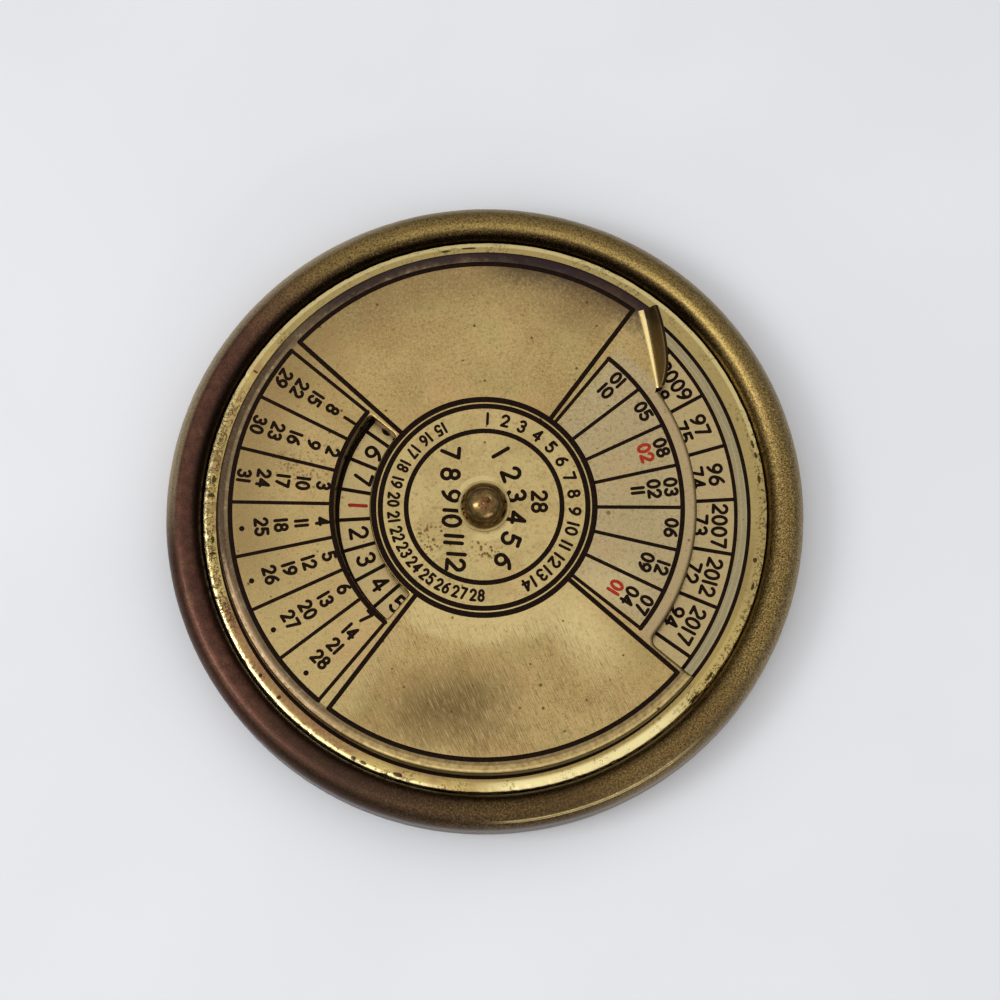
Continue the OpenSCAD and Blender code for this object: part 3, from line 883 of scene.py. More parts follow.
# felt glued under the base
feltSet = dict(
    radius=37.4, thick=1.2, edge=0.3, flat=0.4, sideRows=(0.75, 0.5), columns=360, fluff=0.05, sharpAngle=60,
)


def buildFelt():
    s = feltSet
    bm = bmesh.new()

    def shift(r, z, a):
        if z <= 0.001 or z >= s["thick"] - 0.001:
            return 0, 0
        x, y = r * math.cos(a), r * math.sin(a)
        return -abs(wave(x, y, z, 0.7)) * s["fluff"], 0

    radius, thick, edge = s["radius"], s["thick"], s["edge"]
    flatR = radius - edge - s["flat"]
    profile = [(flatR, thick), *arc(radius - edge, thick - edge, edge, 90, 0, 5)]
    profile += [(radius, z) for z in s["sideRows"]]
    profile += [*arc(radius - edge, edge, edge, 0, -90, 5), (flatR, 0)]
    rings = turnedRings(bm, profile, s["columns"], shift)
    fillFlat(bm, [rings[0]])
    fillFlat(bm, [rings[-1]])
    obj = finishMesh("feltPad", bm, s["sharpAngle"])
    dress(obj, felt, "base_assembly", "felt", "felt_pad")


# fixed year dial; each dent is (depth, size), each nick is (angle, half width in degrees, depth)
yearPlate = dict(
    columns=1440, outerR=35.4, lowZ=5.35, topZ=6.25, innerR=35.0, edgeRoll=(1.0, 0.24), edgeSteps=14,
    topRows=(33.2, 33.8, 34.1), sideRows=(5.8, 5.5), chamfer=0.06, dentR=34.5, dentReach=0.5,
    dents=((0.07, 1.3), (0.06, 0.7)),
    # the roll is flatter away from this direction: its angle, half width and the fade beside it
    rollSide=(248, 62, 40), rollLift=0.85,
    nicks=((-42.0, 1.6, 0.35), (-38.5, 0.8, 0.15), (-63, 1.0, 0.12), (-71, 0.7, 0.1), (-84, 0.8, 0.1),
           (-110, 1.2, 0.2), (-128, 0.7, 0.12), (-147, 0.9, 0.12), (175, 1.2, 0.15), (167, 0.6, 0.12),
           (150, 0.6, 0.1), (128, 0.5, 0.08), (-20, 0.6, 0.1), (12, 0.5, 0.08), (186, 0.8, 0.12)),
)


def buildYearPlate():
    s = yearPlate
    bm = bmesh.new()
    wide, deep = s["edgeRoll"]

    def apart(first, second):  # degrees between two directions
        return abs((first - second + 180) % 360 - 180)

    def shift(r, z, a):
        if r < s["dentR"] or z < s["lowZ"] + 0.05:
            return 0, 0
        degrees = math.degrees(a)
        x, y = s["innerR"] * math.cos(a), s["innerR"] * math.sin(a)
        (coarse, coarseSize), (small, smallSize) = s["dents"]
        dent = coarse * abs(wave(x, y, 3, coarseSize)) + small * max(0, wave(x, y, 13, smallSize) - 0.3)
        for middle, half, depth in s["nicks"]:
            off = apart(degrees, middle)
            if off < half:
                dent += depth * (1 - (off / half) ** 2) * (0.6 + 0.4 * wave(x, y, 5, 0.25))
        share = min(1, max(0, (r - s["dentR"]) / s["dentReach"]))
        lift = 0
        if z > s["topZ"] - deep - 0.01:
            middle, half, fade = s["rollSide"]
            lift = (s["topZ"] - z) * s["rollLift"] * min(1, max(0, (apart(degrees, middle) - half) / fade))
        return -dent * share, lift + (-0.4 * dent if z > s["topZ"] - 0.3 else 0) * share

    profile = [(r, s["topZ"]) for r in s["topRows"]]
    for i in range(s["edgeSteps"] + 1):
        a = math.radians(90 * i / s["edgeSteps"])
        profile.append((s["outerR"] - wide * (1 - math.sin(a)), s["topZ"] - deep * (1 - math.cos(a))))
    profile += [(s["outerR"], z) for z in s["sideRows"]]
    profile += [(s["outerR"] - s["chamfer"], s["lowZ"]), (s["innerR"], s["lowZ"])]
    rings = turnedRings(bm, profile, s["columns"], shift)
    boreR, boreColumns = castBase["boreR"], castBase["boreColumns"]
    bore = turnedRings(bm, [(boreR, s["topZ"]), (boreR, s["lowZ"])], boreColumns)
    tops, lows = pinRings(bm, s["topZ"]), pinRings(bm, s["lowZ"])
    for top, low in zip(tops, lows):
        bridge(bm, (top, low))
    fillFlat(bm, [rings[0], bore[0], *tops])
    fillFlat(bm, [rings[-1], bore[1], *lows])
    obj = finishMesh("yearDialPlate", bm)
    dress(obj, yearBrass, "base_assembly", "dial_brass", "year_dial")


# month dial pressed from one sheet: rolled rim, two windows and the thumb ear
monthDial = dict(
    faceZ=9.0, thick=0.6, skirtZ=6.4, rimR=33.4, rimBend=1.6, boreR=2.45, boreColumns=72, chamfer=0.05,
    # flat laps beside a bend, over and under the sheet
    lap=0.25, underLap=0.3,
    # the rim eases down before it turns: distance in from the rim, depth below the face
    rimRoll=((1.6, 0), (1.2, 0.003), (0.9, 0.01), (0.65, 0.022), (0.45, 0.042), (0.32, 0.07), (0.23, 0.105),
             (0.16, 0.16), (0.1, 0.25), (0.05, 0.4), (0.02, 0.6), (0, 0.85)),
    rimStart=53.2, rimSlant=2.4, rimSteps=480,
    windowR=26.5, windowStart=-39.7, windowEnd=34.3, windowCorner=1.2, wallBend=0.6,
    sideSteps=19, cornerSteps=10, windowSteps=120,
    dayInR=14.3, dayOutR=18.65, dayStart=140.5, dayEnd=230.3, dayCorner=0.45, dayBend=0.3,
    earAlong=(-0.15, 0.98869), earLength=10.70, earFirst=0.4, earLean=57, earReach=2.6, earPeak=0.6,
    earNoseR=6.5, earEdgeR=16.0, earBend=(0.6, 2.0), earRound=(0.12, 0.035), earSteps=48,
    unevenness=0.012, sharpAngle=42,
)


def wallSection(bend):  # (offset into the sheet, z) from the flat face, over the edge and back under the sheet
    s = monthDial
    face, thick, skirt, chamfer = s["faceZ"], s["thick"], s["skirtZ"], s["chamfer"]
    rows = [(bend + s["lap"], face)]
    for d, h in s["rimRoll"]:
        if bend != s["rimBend"]:
            d = bend - math.sqrt(bend ** 2 - (bend - h) ** 2) if h < bend else 0.0
        rows.append((d, face - h))
    rows += [(0.0, skirt + chamfer), (chamfer, skirt), (thick - chamfer, skirt), (thick, skirt + chamfer)]
    inner = max(bend - thick, chamfer)
    low = face - thick
    for a in (0, math.radians(45), math.radians(90)):
        rows.append((thick + inner * (1 - math.cos(a)), low - inner + inner * math.sin(a)))
    rows.append((thick + inner + s["underLap"], low))
    return rows


def earWidth(t):  # how far the ear stands out from its bend, along the bend
    s = monthDial
    noseR, edgeR, reach = s["earNoseR"], s["earEdgeR"], s["earReach"]
    nose = math.sqrt(noseR ** 2 - (noseR - reach) ** 2)
    edge = reach - edgeR + math.sqrt(edgeR ** 2 - (t - s["earPeak"] * s["earLength"]) ** 2)
    if t >= nose:
        return edge
    return min(edge, reach - noseR + math.sqrt(noseR ** 2 - (t - nose) ** 2))


def earSection(t):  # (distance out from the bend line, z) in as many rows as wallSection
    s = monthDial
    face, thick, lean = s["faceZ"], s["thick"], math.radians(s["earLean"])
    width = earWidth(t)
    low, high = s["earBend"]
    inset, nip = s["earRound"]
    tangent = math.tan(lean / 2)
    bendR = low + (high - low) * (t / s["earLength"]) ** 1.5
    bendR = min(bendR, 0.72 * (width - inset) / tangent)
    b = bendR * tangent

    def onPlate(along, below):  # along the leaning plate and down into it
        return (along * math.cos(lean) + below * math.sin(lean),
                face + along * math.sin(lean) - below * math.cos(lean))

    rows = [(-b - s["lap"], face)]
    for i in range(9):
        a = lean * i / 8
        rows.append((-b + bendR * math.sin(a), face + bendR * (1 - math.cos(a))))
    rows += [onPlate(0.5 * (b + width - inset), 0), onPlate(width - inset, 0), onPlate(width - nip, nip),
             onPlate(width, inset), onPlate(width, thick - inset), onPlate(width - nip, thick - nip),
             onPlate(width - inset, thick)]
    for a in (lean, lean / 2, 0):
        rows.append((-b + (bendR + thick) * math.sin(a), face + bendR - (bendR + thick) * math.cos(a)))
    rows.append((-b - s["underLap"], face - thick))
    return rows


def edgeColumns():  # the sheet's outer edge, as columns of points: round the rim, then in along the year window
    s = monthDial
    rim, wall = wallSection(s["rimBend"]), wallSection(s["wallBend"])
    away, along = polar(1, s["windowStart"] - 90), polar(1, s["windowStart"])
    corner = s["windowR"] + s["windowCorner"]
    lean = math.degrees(math.asin(s["windowCorner"] / corner))
    middle = polar(corner, s["windowStart"] + lean)
    cornerX = math.sqrt(corner ** 2 - s["windowCorner"] ** 2)
    columns = []
    for i in range(s["rimSteps"] + 1):
        column = []
        for (dr, z), (dw, _) in zip(rim, wall):
            r = s["rimR"] - dr
            last = s["windowStart"] + 360 - math.degrees(math.asin(dw / r))
            first = s["rimStart"] - s["rimSlant"] * max(0, 1 - dr / (s["rimBend"] + s["lap"]))
            a = first + i / s["rimSteps"] * (last - first)
            turn = math.radians(a)
            if dr < 1.5:
                r += s["unevenness"] * wave(r * math.cos(turn), r * math.sin(turn), z, 3.0)
            column.append((*polar(r, a), z))
        columns.append(column)
    for i in range(1, s["sideSteps"] + 1):
        column = []
        for (dr, _), (dw, z) in zip(rim, wall):
            first = math.sqrt((s["rimR"] - dr) ** 2 - dw ** 2)
            column.append((*(along * (first + (cornerX - first) * i / s["sideSteps"]) + away * dw), z))
        columns.append(column)
    for i in range(1, s["cornerSteps"] + 1):
        a = s["windowStart"] - 90 - (90 - lean) * i / s["cornerSteps"]
        columns.append([(*(middle + polar(s["windowCorner"] + d, a)), z) for d, z in wall])
    first = s["windowStart"] + lean
    for i in range(1, s["windowSteps"] + 1):
        a = first + (s["windowEnd"] - first) * i / s["windowSteps"]
        columns.append([(*polar(s["windowR"] - d, a), z) for d, z in wall])
    return columns


def earColumns():
    s = monthDial
    foot = polar(s["windowR"], s["windowEnd"])
    along = Vector(s["earAlong"])
    out = Vector((along.y, -along.x))
    columns = []
    for i in range(s["earSteps"] + 1):
        t = s["earFirst"] + (s["earLength"] - s["earFirst"]) * 0.5 * (1 - math.cos(math.pi * i / s["earSteps"]))
        columns.append([(*(foot + along * t + out * d), z) for d, z in earSection(t)])
    return columns


def dayOutline():  # the weekday window: points and directions away from it
    s = monthDial
    r, outR, inR = s["dayCorner"], s["dayOutR"], s["dayInR"]
    outTurn, inTurn = math.degrees(math.asin(r / (outR - r))), math.degrees(math.asin(r / (inR + r)))
    outFirst, outLast = s["dayStart"] + outTurn, s["dayEnd"] - outTurn
    inFirst, inLast = s["dayStart"] + inTurn, s["dayEnd"] - inTurn
    points = []

    def sweep(middle, radius, start, end, steps, rows, side=1):
        for i in rows:
            a = start + (end - start) * i / steps
            points.append((middle + polar(radius, a), polar(side, a)))

    pivot = Vector((0, 0))
    sweep(pivot, outR, outFirst, outLast, 96, range(97))
    sweep(polar(outR - r, outLast), r, outLast, s["dayEnd"] + 90, 6, range(1, 7))
    sweep(polar(inR + r, inLast), r, s["dayEnd"] + 90, inLast + 180, 6, range(7))
    sweep(pivot, inR, inLast, inFirst, 72, range(1, 73), side=-1)
    sweep(polar(inR + r, inFirst), r, inFirst + 180, s["dayStart"] + 270, 6, range(1, 7))
    sweep(polar(outR - r, outFirst), r, s["dayStart"] + 270, outFirst + 360, 6, range(6))
    return points


def buildMonthDial():
    s = monthDial
    bm = bmesh.new()
    chains = []
    for columns in (edgeColumns(), earColumns()):
        rows = [addLoop(bm, row) for row in zip(*columns)]
        bridge(bm, rows, closed=False)
        chains.append(rows)
    edge, ear = chains
    last = len(edge) - 1
    for end, other in ((edge, ear), (ear, edge)):  # caps and joins where the ear leaves the sheet
        bm.faces.new([row[-1] for row in end[1:last]])
        bm.faces.new([row[0] for row in other[1:last]])
        bm.faces.new((end[0][-1], other[0][0], other[1][0], end[1][-1]))
        bm.faces.new((end[1][-1], other[1][0], other[last - 1][0], end[last - 1][-1]))
        bm.faces.new((end[last - 1][-1], other[last - 1][0], other[last][0], end[last][-1]))
    outline = dayOutline()
    dayRows = [addLoop(bm, [(*(p + n * d), z) for p, n in outline]) for d, z in wallSection(s["dayBend"])]
    bridge(bm, dayRows)
    r, face, low, chamfer = s["boreR"], s["faceZ"], s["faceZ"] - s["thick"], s["chamfer"]
    bore = turnedRings(bm, [(r + 0.2, face), (r + chamfer, face), (r, face - chamfer), (r, low + chamfer),
                            (r + chamfer, low)], s["boreColumns"])
    fillFlat(bm, [edge[0] + ear[0], dayRows[0], bore[0]])
    fillFlat(bm, [edge[last] + ear[last], dayRows[last], bore[-1]])
    obj = finishMesh("monthDialSheet", bm, s["sharpAngle"])
    dress(obj, dialBrass, "month_dial_assembly", "dial_brass", "month_dial")


# domed knob and the post riveted over in its crown
knobSet = dict(
    radius=2.95, middleZ=9.15, footZ=9.3, holeR=1.62, columns=144, steps=30, unevenness=(0.008, 0.01),
    sharpAngle=50,
)


def buildKnob():
    s = knobSet
    bm = bmesh.new()

    def shift(r, z, a):
        if z < s["footZ"] + 0.3 or r < s["holeR"] + 0.01:
            return 0, 0
        x, y = r * math.cos(a), r * math.sin(a)
        inOut, upDown = s["unevenness"]
        return inOut * wave(x, y, z, 0.9), upDown * wave(x, y, z + 20, 0.8)

    top = 90 - math.degrees(math.asin(s["holeR"] / s["radius"]))
    foot = math.degrees(math.asin((s["footZ"] - s["middleZ"]) / s["radius"]))
    profile = [*arc(0, s["middleZ"], s["radius"], top, foot, s["steps"]), (s["holeR"], s["footZ"])]
    rings = turnedRings(bm, profile, s["columns"], shift)
    bridge(bm, (rings[-1], rings[0]))
    obj = finishMesh("domeKnob", bm, s["sharpAngle"])
    dress(obj, knobBrass, "base_assembly", "dark_brass", "knob")


postSet = dict(
    shankR=1.6, shankZ=10.0, headR=3.7, headZ=1.4, headThick=0.9, chamfer=0.1, tipR=0.06, tipSteps=22,
    columns=96, sharpAngle=50,
    # the bent dent in the crown: its middle, radius and half width
    hook=(0.5, 0.2, 0.28, 0.09), hookDepth=0.12,
    # the pitted patch: its middle and reach, and the place in the noise, size, threshold and depth of its pits
    rough=(0.25, -0.25, 1.1), pits=((4, 0.45, 0.05, 0.2), (9, 0.2, 0, 0.08)),
)


def buildPost():
    s, k = postSet, knobSet
    bm = bmesh.new()

    def pitted(r, z, a):
        if z < k["middleZ"] + 1:
            return 0, 0
        x, y = r * math.cos(a), r * math.sin(a)
        hookX, hookY, hookR, hookHalf = s["hook"]
        hook = math.exp(-((math.hypot(x - hookX, y - hookY) - hookR) / hookHalf) ** 2)
        hook = hook * (1 if x > hookX - 0.15 else 0.2)
        roughX, roughY, reach = s["rough"]
        near = max(0, 1 - math.hypot(x - roughX, y - roughY) / reach)
        rough = sum(max(0, wave(x, y, at, size) - least) * deep for at, size, least, deep in s["pits"]) * near
        return 0, -(rough + s["hookDepth"] * hook) * min(1, (s["shankR"] - r) / 0.25 + 0.2)

    base, head = s["headZ"], s["headZ"] + s["headThick"]
    profile = []
    for i in range(s["tipSteps"] + 1):
        r = s["tipR"] + (s["shankR"] - s["tipR"]) * i / s["tipSteps"]
        profile.append((r, k["middleZ"] + math.sqrt(k["radius"] ** 2 - r ** 2)))
    shankR, headR, chamfer = s["shankR"], s["headR"], s["chamfer"]
    profile += [(shankR, s["shankZ"]), (shankR, head), (headR - chamfer, head), (headR, head - chamfer),
                (headR, base + chamfer), (headR - chamfer, base)]
    rings = turnedRings(bm, profile, s["columns"], pitted)
    for ring in (rings[0], rings[-1]):
        bm.faces.new(ring)
    obj = finishMesh("rivetPost", bm, s["sharpAngle"])
    dress(obj, crownBrass, "base_assembly", "dark_brass", "post")


# each numeral is drawn in a box 0.6 wide and 1 high, as strokes that end at every sharp corner
numerals = {
    "0": [arc(0.3, 0.5, 0.5, 0, 360, 22, 0.58)],
    "1": [[(0.3, 0.0), (0.3, 1.0)]],
    "2": [arc(0.3, 0.71, 0.29, 165, -28, 12) + [(0.05, 0.02)], [(0.03, 0.0), (0.58, 0.0)]],
    "3": [arc(0.28, 0.745, 0.255, 150, -80, 11), arc(0.28, 0.26, 0.28, 95, -150, 12)],
    "4": [[(0.45, 0.0), (0.45, 1.0)], [(0.45, 1.0), (0.0, 0.3)], [(0.0, 0.3), (0.6, 0.3)]],
    "5": [[(0.54, 1.0), (0.1, 1.0)], [(0.1, 1.0), (0.06, 0.56)],
          [(0.06, 0.56)] + arc(0.28, 0.31, 0.31, 118, -150, 12)],
    "6": [[(0.5, 0.98), (0.3, 0.86), (0.14, 0.68), (0.04, 0.46)] + arc(0.3, 0.29, 0.29, 170, 530, 18)],
    "7": [[(0.02, 1.0), (0.58, 1.0)], [(0.58, 1.0), (0.22, 0.0)]],
    "8": [arc(0.3, 0.76, 0.24, -90, 270, 16), arc(0.3, 0.27, 0.27, 90, 450, 18, 1.05)],
    "9": [[(0.1, 0.02), (0.3, 0.14), (0.46, 0.32), (0.56, 0.54)] + arc(0.3, 0.71, 0.29, -10, 350, 18)],
}
numeralWidth = dict(thin=0.16, full=0.6, middle=0.3)  # of a 1, of the others, and the middle of the box


class strokeSet:  # drawn lines, each with its own width, at one height
    def __init__(self, z, middle=(0, 0)):
        self.z, self.middle = z, Vector(middle)
        self.points, self.edges, self.widths = [], [], []

    def line(self, points, width, closed=False):
        first, count = len(self.points), len(points)
        self.points += [(x * mm, y * mm, self.z * mm) for x, y in points]
        self.widths += [width / 2 * mm] * count
        self.edges += [(first + i, first + i + 1) for i in range(count - 1)]
        if closed:
            self.edges.append((first + count - 1, first))

    def ring(self, radius, width, steps=240):
        self.line([self.middle + polar(radius, 360 * i / steps) for i in range(steps)], width, closed=True)

    def arc(self, radius, start, end, width):
        steps = max(2, int(abs(end - start) * radius / 40))
        angles = [start + (end - start) * i / steps for i in range(steps + 1)]
        self.line([self.middle + polar(radius, a) for a in angles], width)

    def spoke(self, inner, outer, angle, width):
        self.line([self.middle + polar(inner, angle), self.middle + polar(outer, angle)], width)

    def dot(self, radius, angle, size):
        at = self.middle + polar(radius, angle)
        self.line([at, at + Vector((0.004, 0))], size)

    # numerals in a straight row, centred at a place on the dial; outward sets which way their tops point
    def text(self, word, radius, angle, height, width, outward=True, gap=0.26, squeeze=1.0, offset=(0, 0),
             lean=0.0):
        n = numeralWidth
        up = polar(1 if outward else -1, angle + lean)
        right = Vector((up.y, -up.x))
        advances = [n["thin" if c == "1" else "full"] * squeeze for c in word]
        at = self.middle + Vector(offset) + polar(radius, angle)
        x = -(sum(advances) + gap * (len(word) - 1)) / 2
        for c, advance in zip(word, advances):
            for stroke in numerals[c]:
                points = []
                for px, py in stroke:
                    px = (px - n["middle"]) * squeeze if c == "1" else px * squeeze - advance / 2
                    points.append(at + right * ((x + advance / 2 + px) * height) + up * ((py - 0.5) * height))
                closed = c == "0"
                self.line(points[:-1] if closed else points, width, closed)
            x += advance + gap


# enamel: how high its crown stands as a share of its half width, the sides of its section and its end beads
enamelSet = dict(crown=0.07, sides=8, beadSegments=10, beadRings=4)


def buildEnamelTree():
    s = enamelSet
    tree = bpy.data.node_groups.new("enamelStrokes", "GeometryNodeTree")
    inputs = {"Geometry": "Geometry", "Crown": "Float", "Profile Sides": "Int", "Enamel": "Material"}
    for name, kind in inputs.items():
        socket = tree.interface.new_socket(name=name, in_out="INPUT", socket_type="NodeSocket" + kind)
        inputs[name] = socket.identifier
    tree.interface.new_socket(name="Geometry", in_out="OUTPUT", socket_type="NodeSocketGeometry")
    given = addNode(tree, "NodeGroupInput").outputs

    def add(kind, sockets, **settings):  # a node's first output
        return addNode(tree, kind, sockets=sockets, **settings).outputs[0]

    # a flattened section swept along each stroke
    path = add("GeometryNodeMeshToCurve", {"Mesh": given["Geometry"]})
    level = add("GeometryNodeSetCurveNormal", {"Curve": path}, mode="Z_UP")
    width = add("GeometryNodeInputNamedAttribute", {"Name": "halfWidth"}, data_type="FLOAT")
    circle = add("GeometryNodeCurvePrimitiveCircle", {"Resolution": given["Profile Sides"], "Radius": 1})
    lowWide = add("ShaderNodeCombineXYZ", {"X": 1, "Y": given["Crown"], "Z": 1})
    section = add("GeometryNodeTransform", {"Geometry": circle, "Scale": lowWide})
    sweep = {"Curve": level, "Profile Curve": section, "Scale": width, "Fill Caps": True}
    swept = add("GeometryNodeSetShadeSmooth", {"Geometry": add("GeometryNodeCurveToMesh", sweep)})

    # a flattened bead at each open end
    ends, cyclic = add("GeometryNodeCurveEndpointSelection", {}), add("GeometryNodeInputSplineCyclic", {})
    openEnd = addNode(tree, "FunctionNodeBooleanMath", ends, cyclic, operation="NIMPLY").outputs[0]
    ball = {"Segments": s["beadSegments"], "Rings": s["beadRings"], "Radius": 1}
    ball = add("GeometryNodeSetShadeSmooth", {"Geometry": add("GeometryNodeMeshUVSphere", ball)})
    flat = add("ShaderNodeCombineXYZ", {"X": 1, "Y": 1, "Z": given["Crown"]})
    bead = add("GeometryNodeTransform", {"Geometry": ball, "Scale": flat})
    caps = {"Points": path, "Selection": openEnd, "Instance": bead, "Scale": width}
    caps = add("GeometryNodeInstanceOnPoints", caps)

    both = addNode(tree, "GeometryNodeJoinGeometry", swept)
    link(tree, caps, both.inputs[0])
    real = add("GeometryNodeRealizeInstances", {"Geometry": both.outputs[0]})
    painted = add("GeometryNodeSetMaterial", {"Geometry": real, "Material": given["Enamel"]})
    addNode(tree, "NodeGroupOutput", painted)
    return tree, inputs


def pourEnamel(name, strokes, material, body):
    tree, inputs = enamelTree
    mesh = bpy.data.meshes.new(name + "Path")
    mesh.from_pydata(strokes.points, strokes.edges, [])
    mesh.attributes.new("halfWidth", "FLOAT", "POINT").data.foreach_set("value", strokes.widths)
    path = intoScene(name + "Path", mesh)
    pour = path.modifiers.new("enamel", "NODES")
    pour.node_group = tree
    pour[inputs["Crown"]] = enamelSet["crown"]
    pour[inputs["Profile Sides"]] = enamelSet["sides"]
    pour[inputs["Enamel"]] = material
    graph = bpy.context.evaluated_depsgraph_get()
    poured = bpy.data.meshes.new_from_object(path.evaluated_get(graph), depsgraph=graph)
    poured.name = name
    bpy.data.objects.remove(path)
    if "halfWidth" in poured.attributes:
        poured.attributes.remove(poured.attributes["halfWidth"])
    dress(intoScene(name, poured), material, body, "dial_brass")
    print("enamel", name, len(poured.polygons), "faces")


# each column of month numbers runs inward, and a star marks a red one
monthPrint = dict(
    cell=12.857, dateStart=140.4, dateInR=19.05, dateRows=(20.2, 22.8, 25.35, 27.8, 30.25), dateHeight=1.5,
    dateSqueeze=0.92, days=31, dotSize=0.7, monthStart=321.4, monthEnd=410.7, monthOutR=24.7,
    monthRows=(23.4, 21.3, 19.25), monthHeight=1.45,
    months=(("07", "04", "*01"), ("12", "09"), ("06",), ("03", "02", "11"), ("08", "*02"), ("05",),
            ("01", "10")),
    borderR=31.66, blanks=((53.7, 137.7), (233.3, 318.7)), line=0.6, thin=0.46, numeral=0.42,
    # rings round the hub: radius, width
    rings=((9.7, 0.62), (12.92, 0.66), (13.78, 0.72)),
    # numbers round the ring, in two halves: first number, first angle, step, and how they are written
    ringR=11.3, ringCount=14,
    ringHalves=((1, 88, -11.4, dict(height=1.36, width=0.36, gap=0.32)),
                (15, 119, 11.3, dict(height=1.3, width=0.34, outward=False, gap=0.3, squeeze=0.8))),
    # numbers in two bowed columns beside the knob
    columnRows=6, columnTop=6.9, columnStep=2.78, columnHeight=2.15, columnWidth=0.5, rightX=4.1,
    rightBow=0.043, footY=-5, footShift=0.5, leftX=-4.05, leftSlant=0.055, leftBow=0.004, leftLean=-4.0,
    leftGap=0.25, cycle="28", cycleAt=(6.9, 0.6), cycleHeight=1.75, cycleWidth=0.44,
)


def printDates(black):
    s = monthPrint
    end = s["dateStart"] + 7 * s["cell"]
    black.arc(s["borderR"], s["dateStart"], end, s["line"])
    black.arc(s["dateInR"], s["dateStart"], end, s["line"])
    for k in range(8):
        black.spoke(s["dateInR"], s["borderR"], s["dateStart"] + k * s["cell"], s["thin"])
    for k in range(7):
        a = s["dateStart"] + (k + 0.5) * s["cell"]
        for row, r in enumerate(s["dateRows"]):
            day = k + 1 + 7 * row
            if day <= s["days"]:
                black.text(str(day), r, a, s["dateHeight"], s["numeral"], False, squeeze=s["dateSqueeze"])
            else:
                black.dot(r, a, s["dotSize"])


def printMonths(black, red):
    s = monthPrint
    cell = (s["monthEnd"] - s["monthStart"]) / 7
    black.arc(s["monthOutR"], s["monthStart"], s["monthStart"] + 7 * cell, s["line"])
    for k in range(8):
        black.spoke(s["rings"][-1][0], s["monthOutR"], s["monthStart"] + k * cell, s["thin"])
    for k, column in enumerate(s["months"]):
        a = s["monthStart"] + (k + 0.5) * cell
        for r, word in zip(s["monthRows"], column):
            ink = red if word.startswith("*") else black
            ink.text(word.strip("*"), r, a, s["monthHeight"], s["numeral"])


def printHub(black):
    s = monthPrint
    for k in range(s["ringCount"]):
        for first, start, step, style in s["ringHalves"]:
            black.text(str(k + first), s["ringR"], start + k * step, **style)
    size = (s["columnHeight"], s["columnWidth"])
    for k in range(s["columnRows"]):
        y = s["columnTop"] - s["columnStep"] * k
        x = s["rightX"] - s["rightBow"] * y * y + (s["footShift"] if y < s["footY"] else 0)
        black.text(str(k + 1), 0, 0, *size, offset=(x, y), lean=math.degrees(math.atan(2 * s["rightBow"] * y)))
        x = s["leftX"] - s["leftSlant"] * y + s["leftBow"] * y * y
        black.text(str(k + 7), 0, 0, *size, offset=(x, y), lean=s["leftLean"], gap=s["leftGap"])
    black.text(s["cycle"], 0, 0, s["cycleHeight"], s["cycleWidth"], offset=s["cycleAt"])


def printMonthDial():
    s = monthPrint
    black, red = strokeSet(monthDial["faceZ"]), strokeSet(monthDial["faceZ"])
    for radius, width in s["rings"]:
        black.ring(radius, width)
    for start, end in s["blanks"]:
        black.arc(s["borderR"], start, end, s["line"])
        for a in (start, end):
            black.spoke(s["rings"][-1][0], s["borderR"], a, s["line"])
    printDates(black)
    printMonths(black, red)
    printHub(black)
    pourEnamel("blackEnamelMonth", black, blackEnamel, "month_dial_assembly")
    pourEnamel("redEnamelMonth", red, redEnamel, "month_dial_assembly")


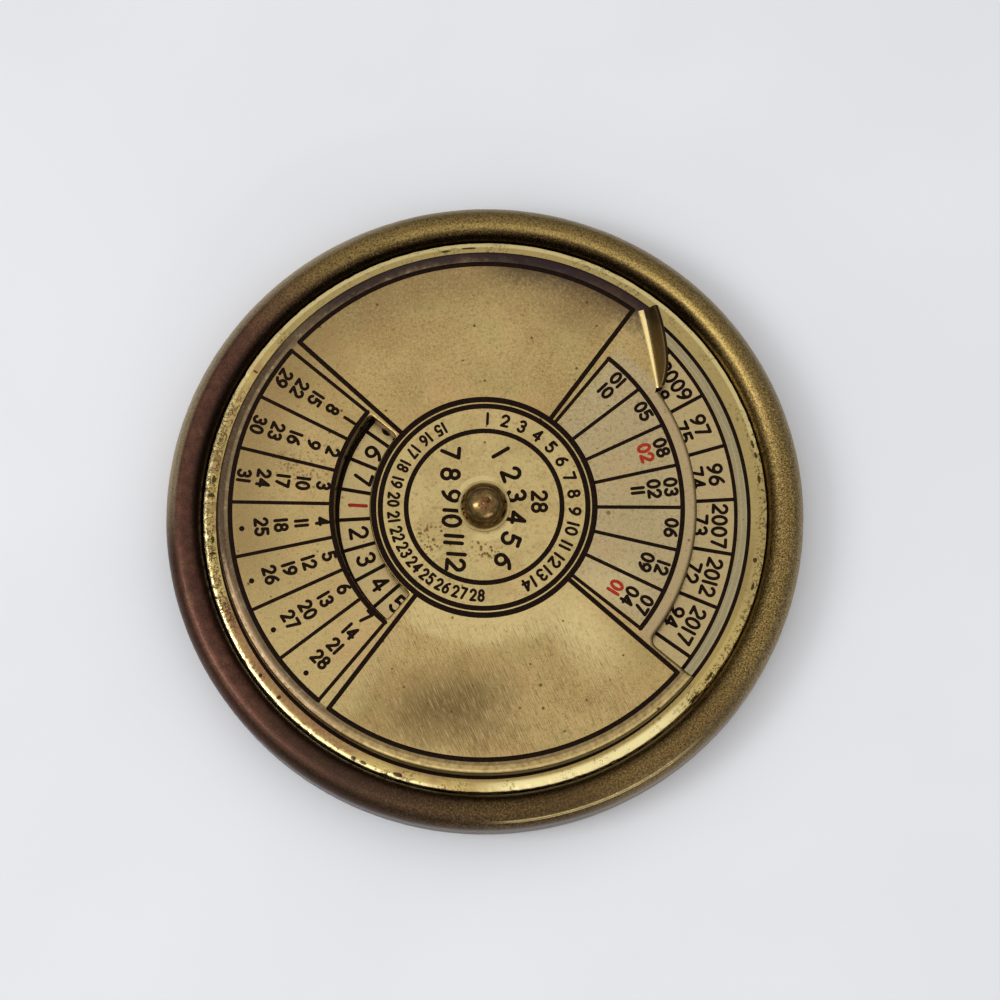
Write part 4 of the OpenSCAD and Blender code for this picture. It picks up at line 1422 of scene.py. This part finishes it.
yearPrint = dict(
    cell=360 / 28, first=3.1, middle=(-0.18, -0.17), borderR=31.69, outerR=33.32, yearInR=25.9, dayInR=13.9,
    dayOutR=18.3, dayLine=0.55, dayR=15.75, dayHeight=2.1, dayNumeral=0.44, ringSteps=360, rows=(29.65, 27.2),
    rowHeight=1.7, line=0.48, numeral=0.42,
    years=(("96", "74"), ("97", "75"), ("2009", "98"), ("99", "71"), ("2000", "76"), ("2001", "77"),
           ("2002", "78"), ("2003", "79"), ("2004", "80"), ("2005", "81"), ("2006", "82"), ("2008", "83"),
           ("2010", "84"), ("2011", "85"), ("2013", "86"), ("2014", "87"), ("2015", "88"), ("2016", "89"),
           ("2018", "90"), ("2019", "91"), ("2020", "92"), ("2021", "93"), ("2022", "95"), ("70", "69"),
           ("68", "67"), ("2017", "94"), ("2012", "72"), ("2007", "73")),
)


def printYearDial():
    s = yearPrint
    black, red = (strokeSet(yearPlate["topZ"], s["middle"]) for _ in range(2))
    black.ring(s["borderR"], s["line"], s["ringSteps"])
    black.ring(s["outerR"], s["line"], s["ringSteps"])
    black.ring(s["dayOutR"], s["dayLine"])
    for k, pair in enumerate(s["years"]):
        a = s["first"] + k * s["cell"]
        black.spoke(s["yearInR"], s["borderR"], a, s["line"])
        black.spoke(s["dayInR"], s["dayOutR"], a, s["line"])
        a += s["cell"] / 2
        for year, r in zip(pair, s["rows"]):
            black.text(year, r, a, s["rowHeight"], s["numeral"])
        day = (k + 1) % 7
        ink = black if day else red
        ink.text(str(day + 1), s["dayR"], a, s["dayHeight"], s["dayNumeral"], outward=False)
    pourEnamel("blackEnamelYear", black, blackEnamel, "base_assembly")
    pourEnamel("redEnamelYear", red, redEnamel, "base_assembly")


buildGroups()
placeCamera()
lightScene()
layFloor()
print("stage set")

castBrass = makeCastBrass()
dialBrass = makeDialSheet()
yearBrass = makeYearPlate()
knobBrass = makeKnobBrass("domeBrass", 0.1, 0.0)
crownBrass = makeKnobBrass("crownBrass", 0.5, 1.0)
blackEnamel, redEnamel = makeEnamel("blackEnamel"), makeEnamel("redEnamel")
felt = makeFelt()
print("finishes made")

buildBase()
buildFelt()
buildYearPlate()
buildMonthDial()
buildKnob()
buildPost()
print("brass pieces built")

enamelTree = buildEnamelTree()
printMonthDial()
printYearDial()

for name, nodes in (("washerBrass", ["knob_washer"]), ("turnedBrass", ["hub_bush", "backing_washer"]),
                    ("springSteel", ["friction_washer", "locating_pins"])):
    metal = makePlainMetal(name)
    for node in nodes:
        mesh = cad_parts[node].data
        mesh.materials.clear()
        mesh.materials.append(metal)
print("plain parts finished")
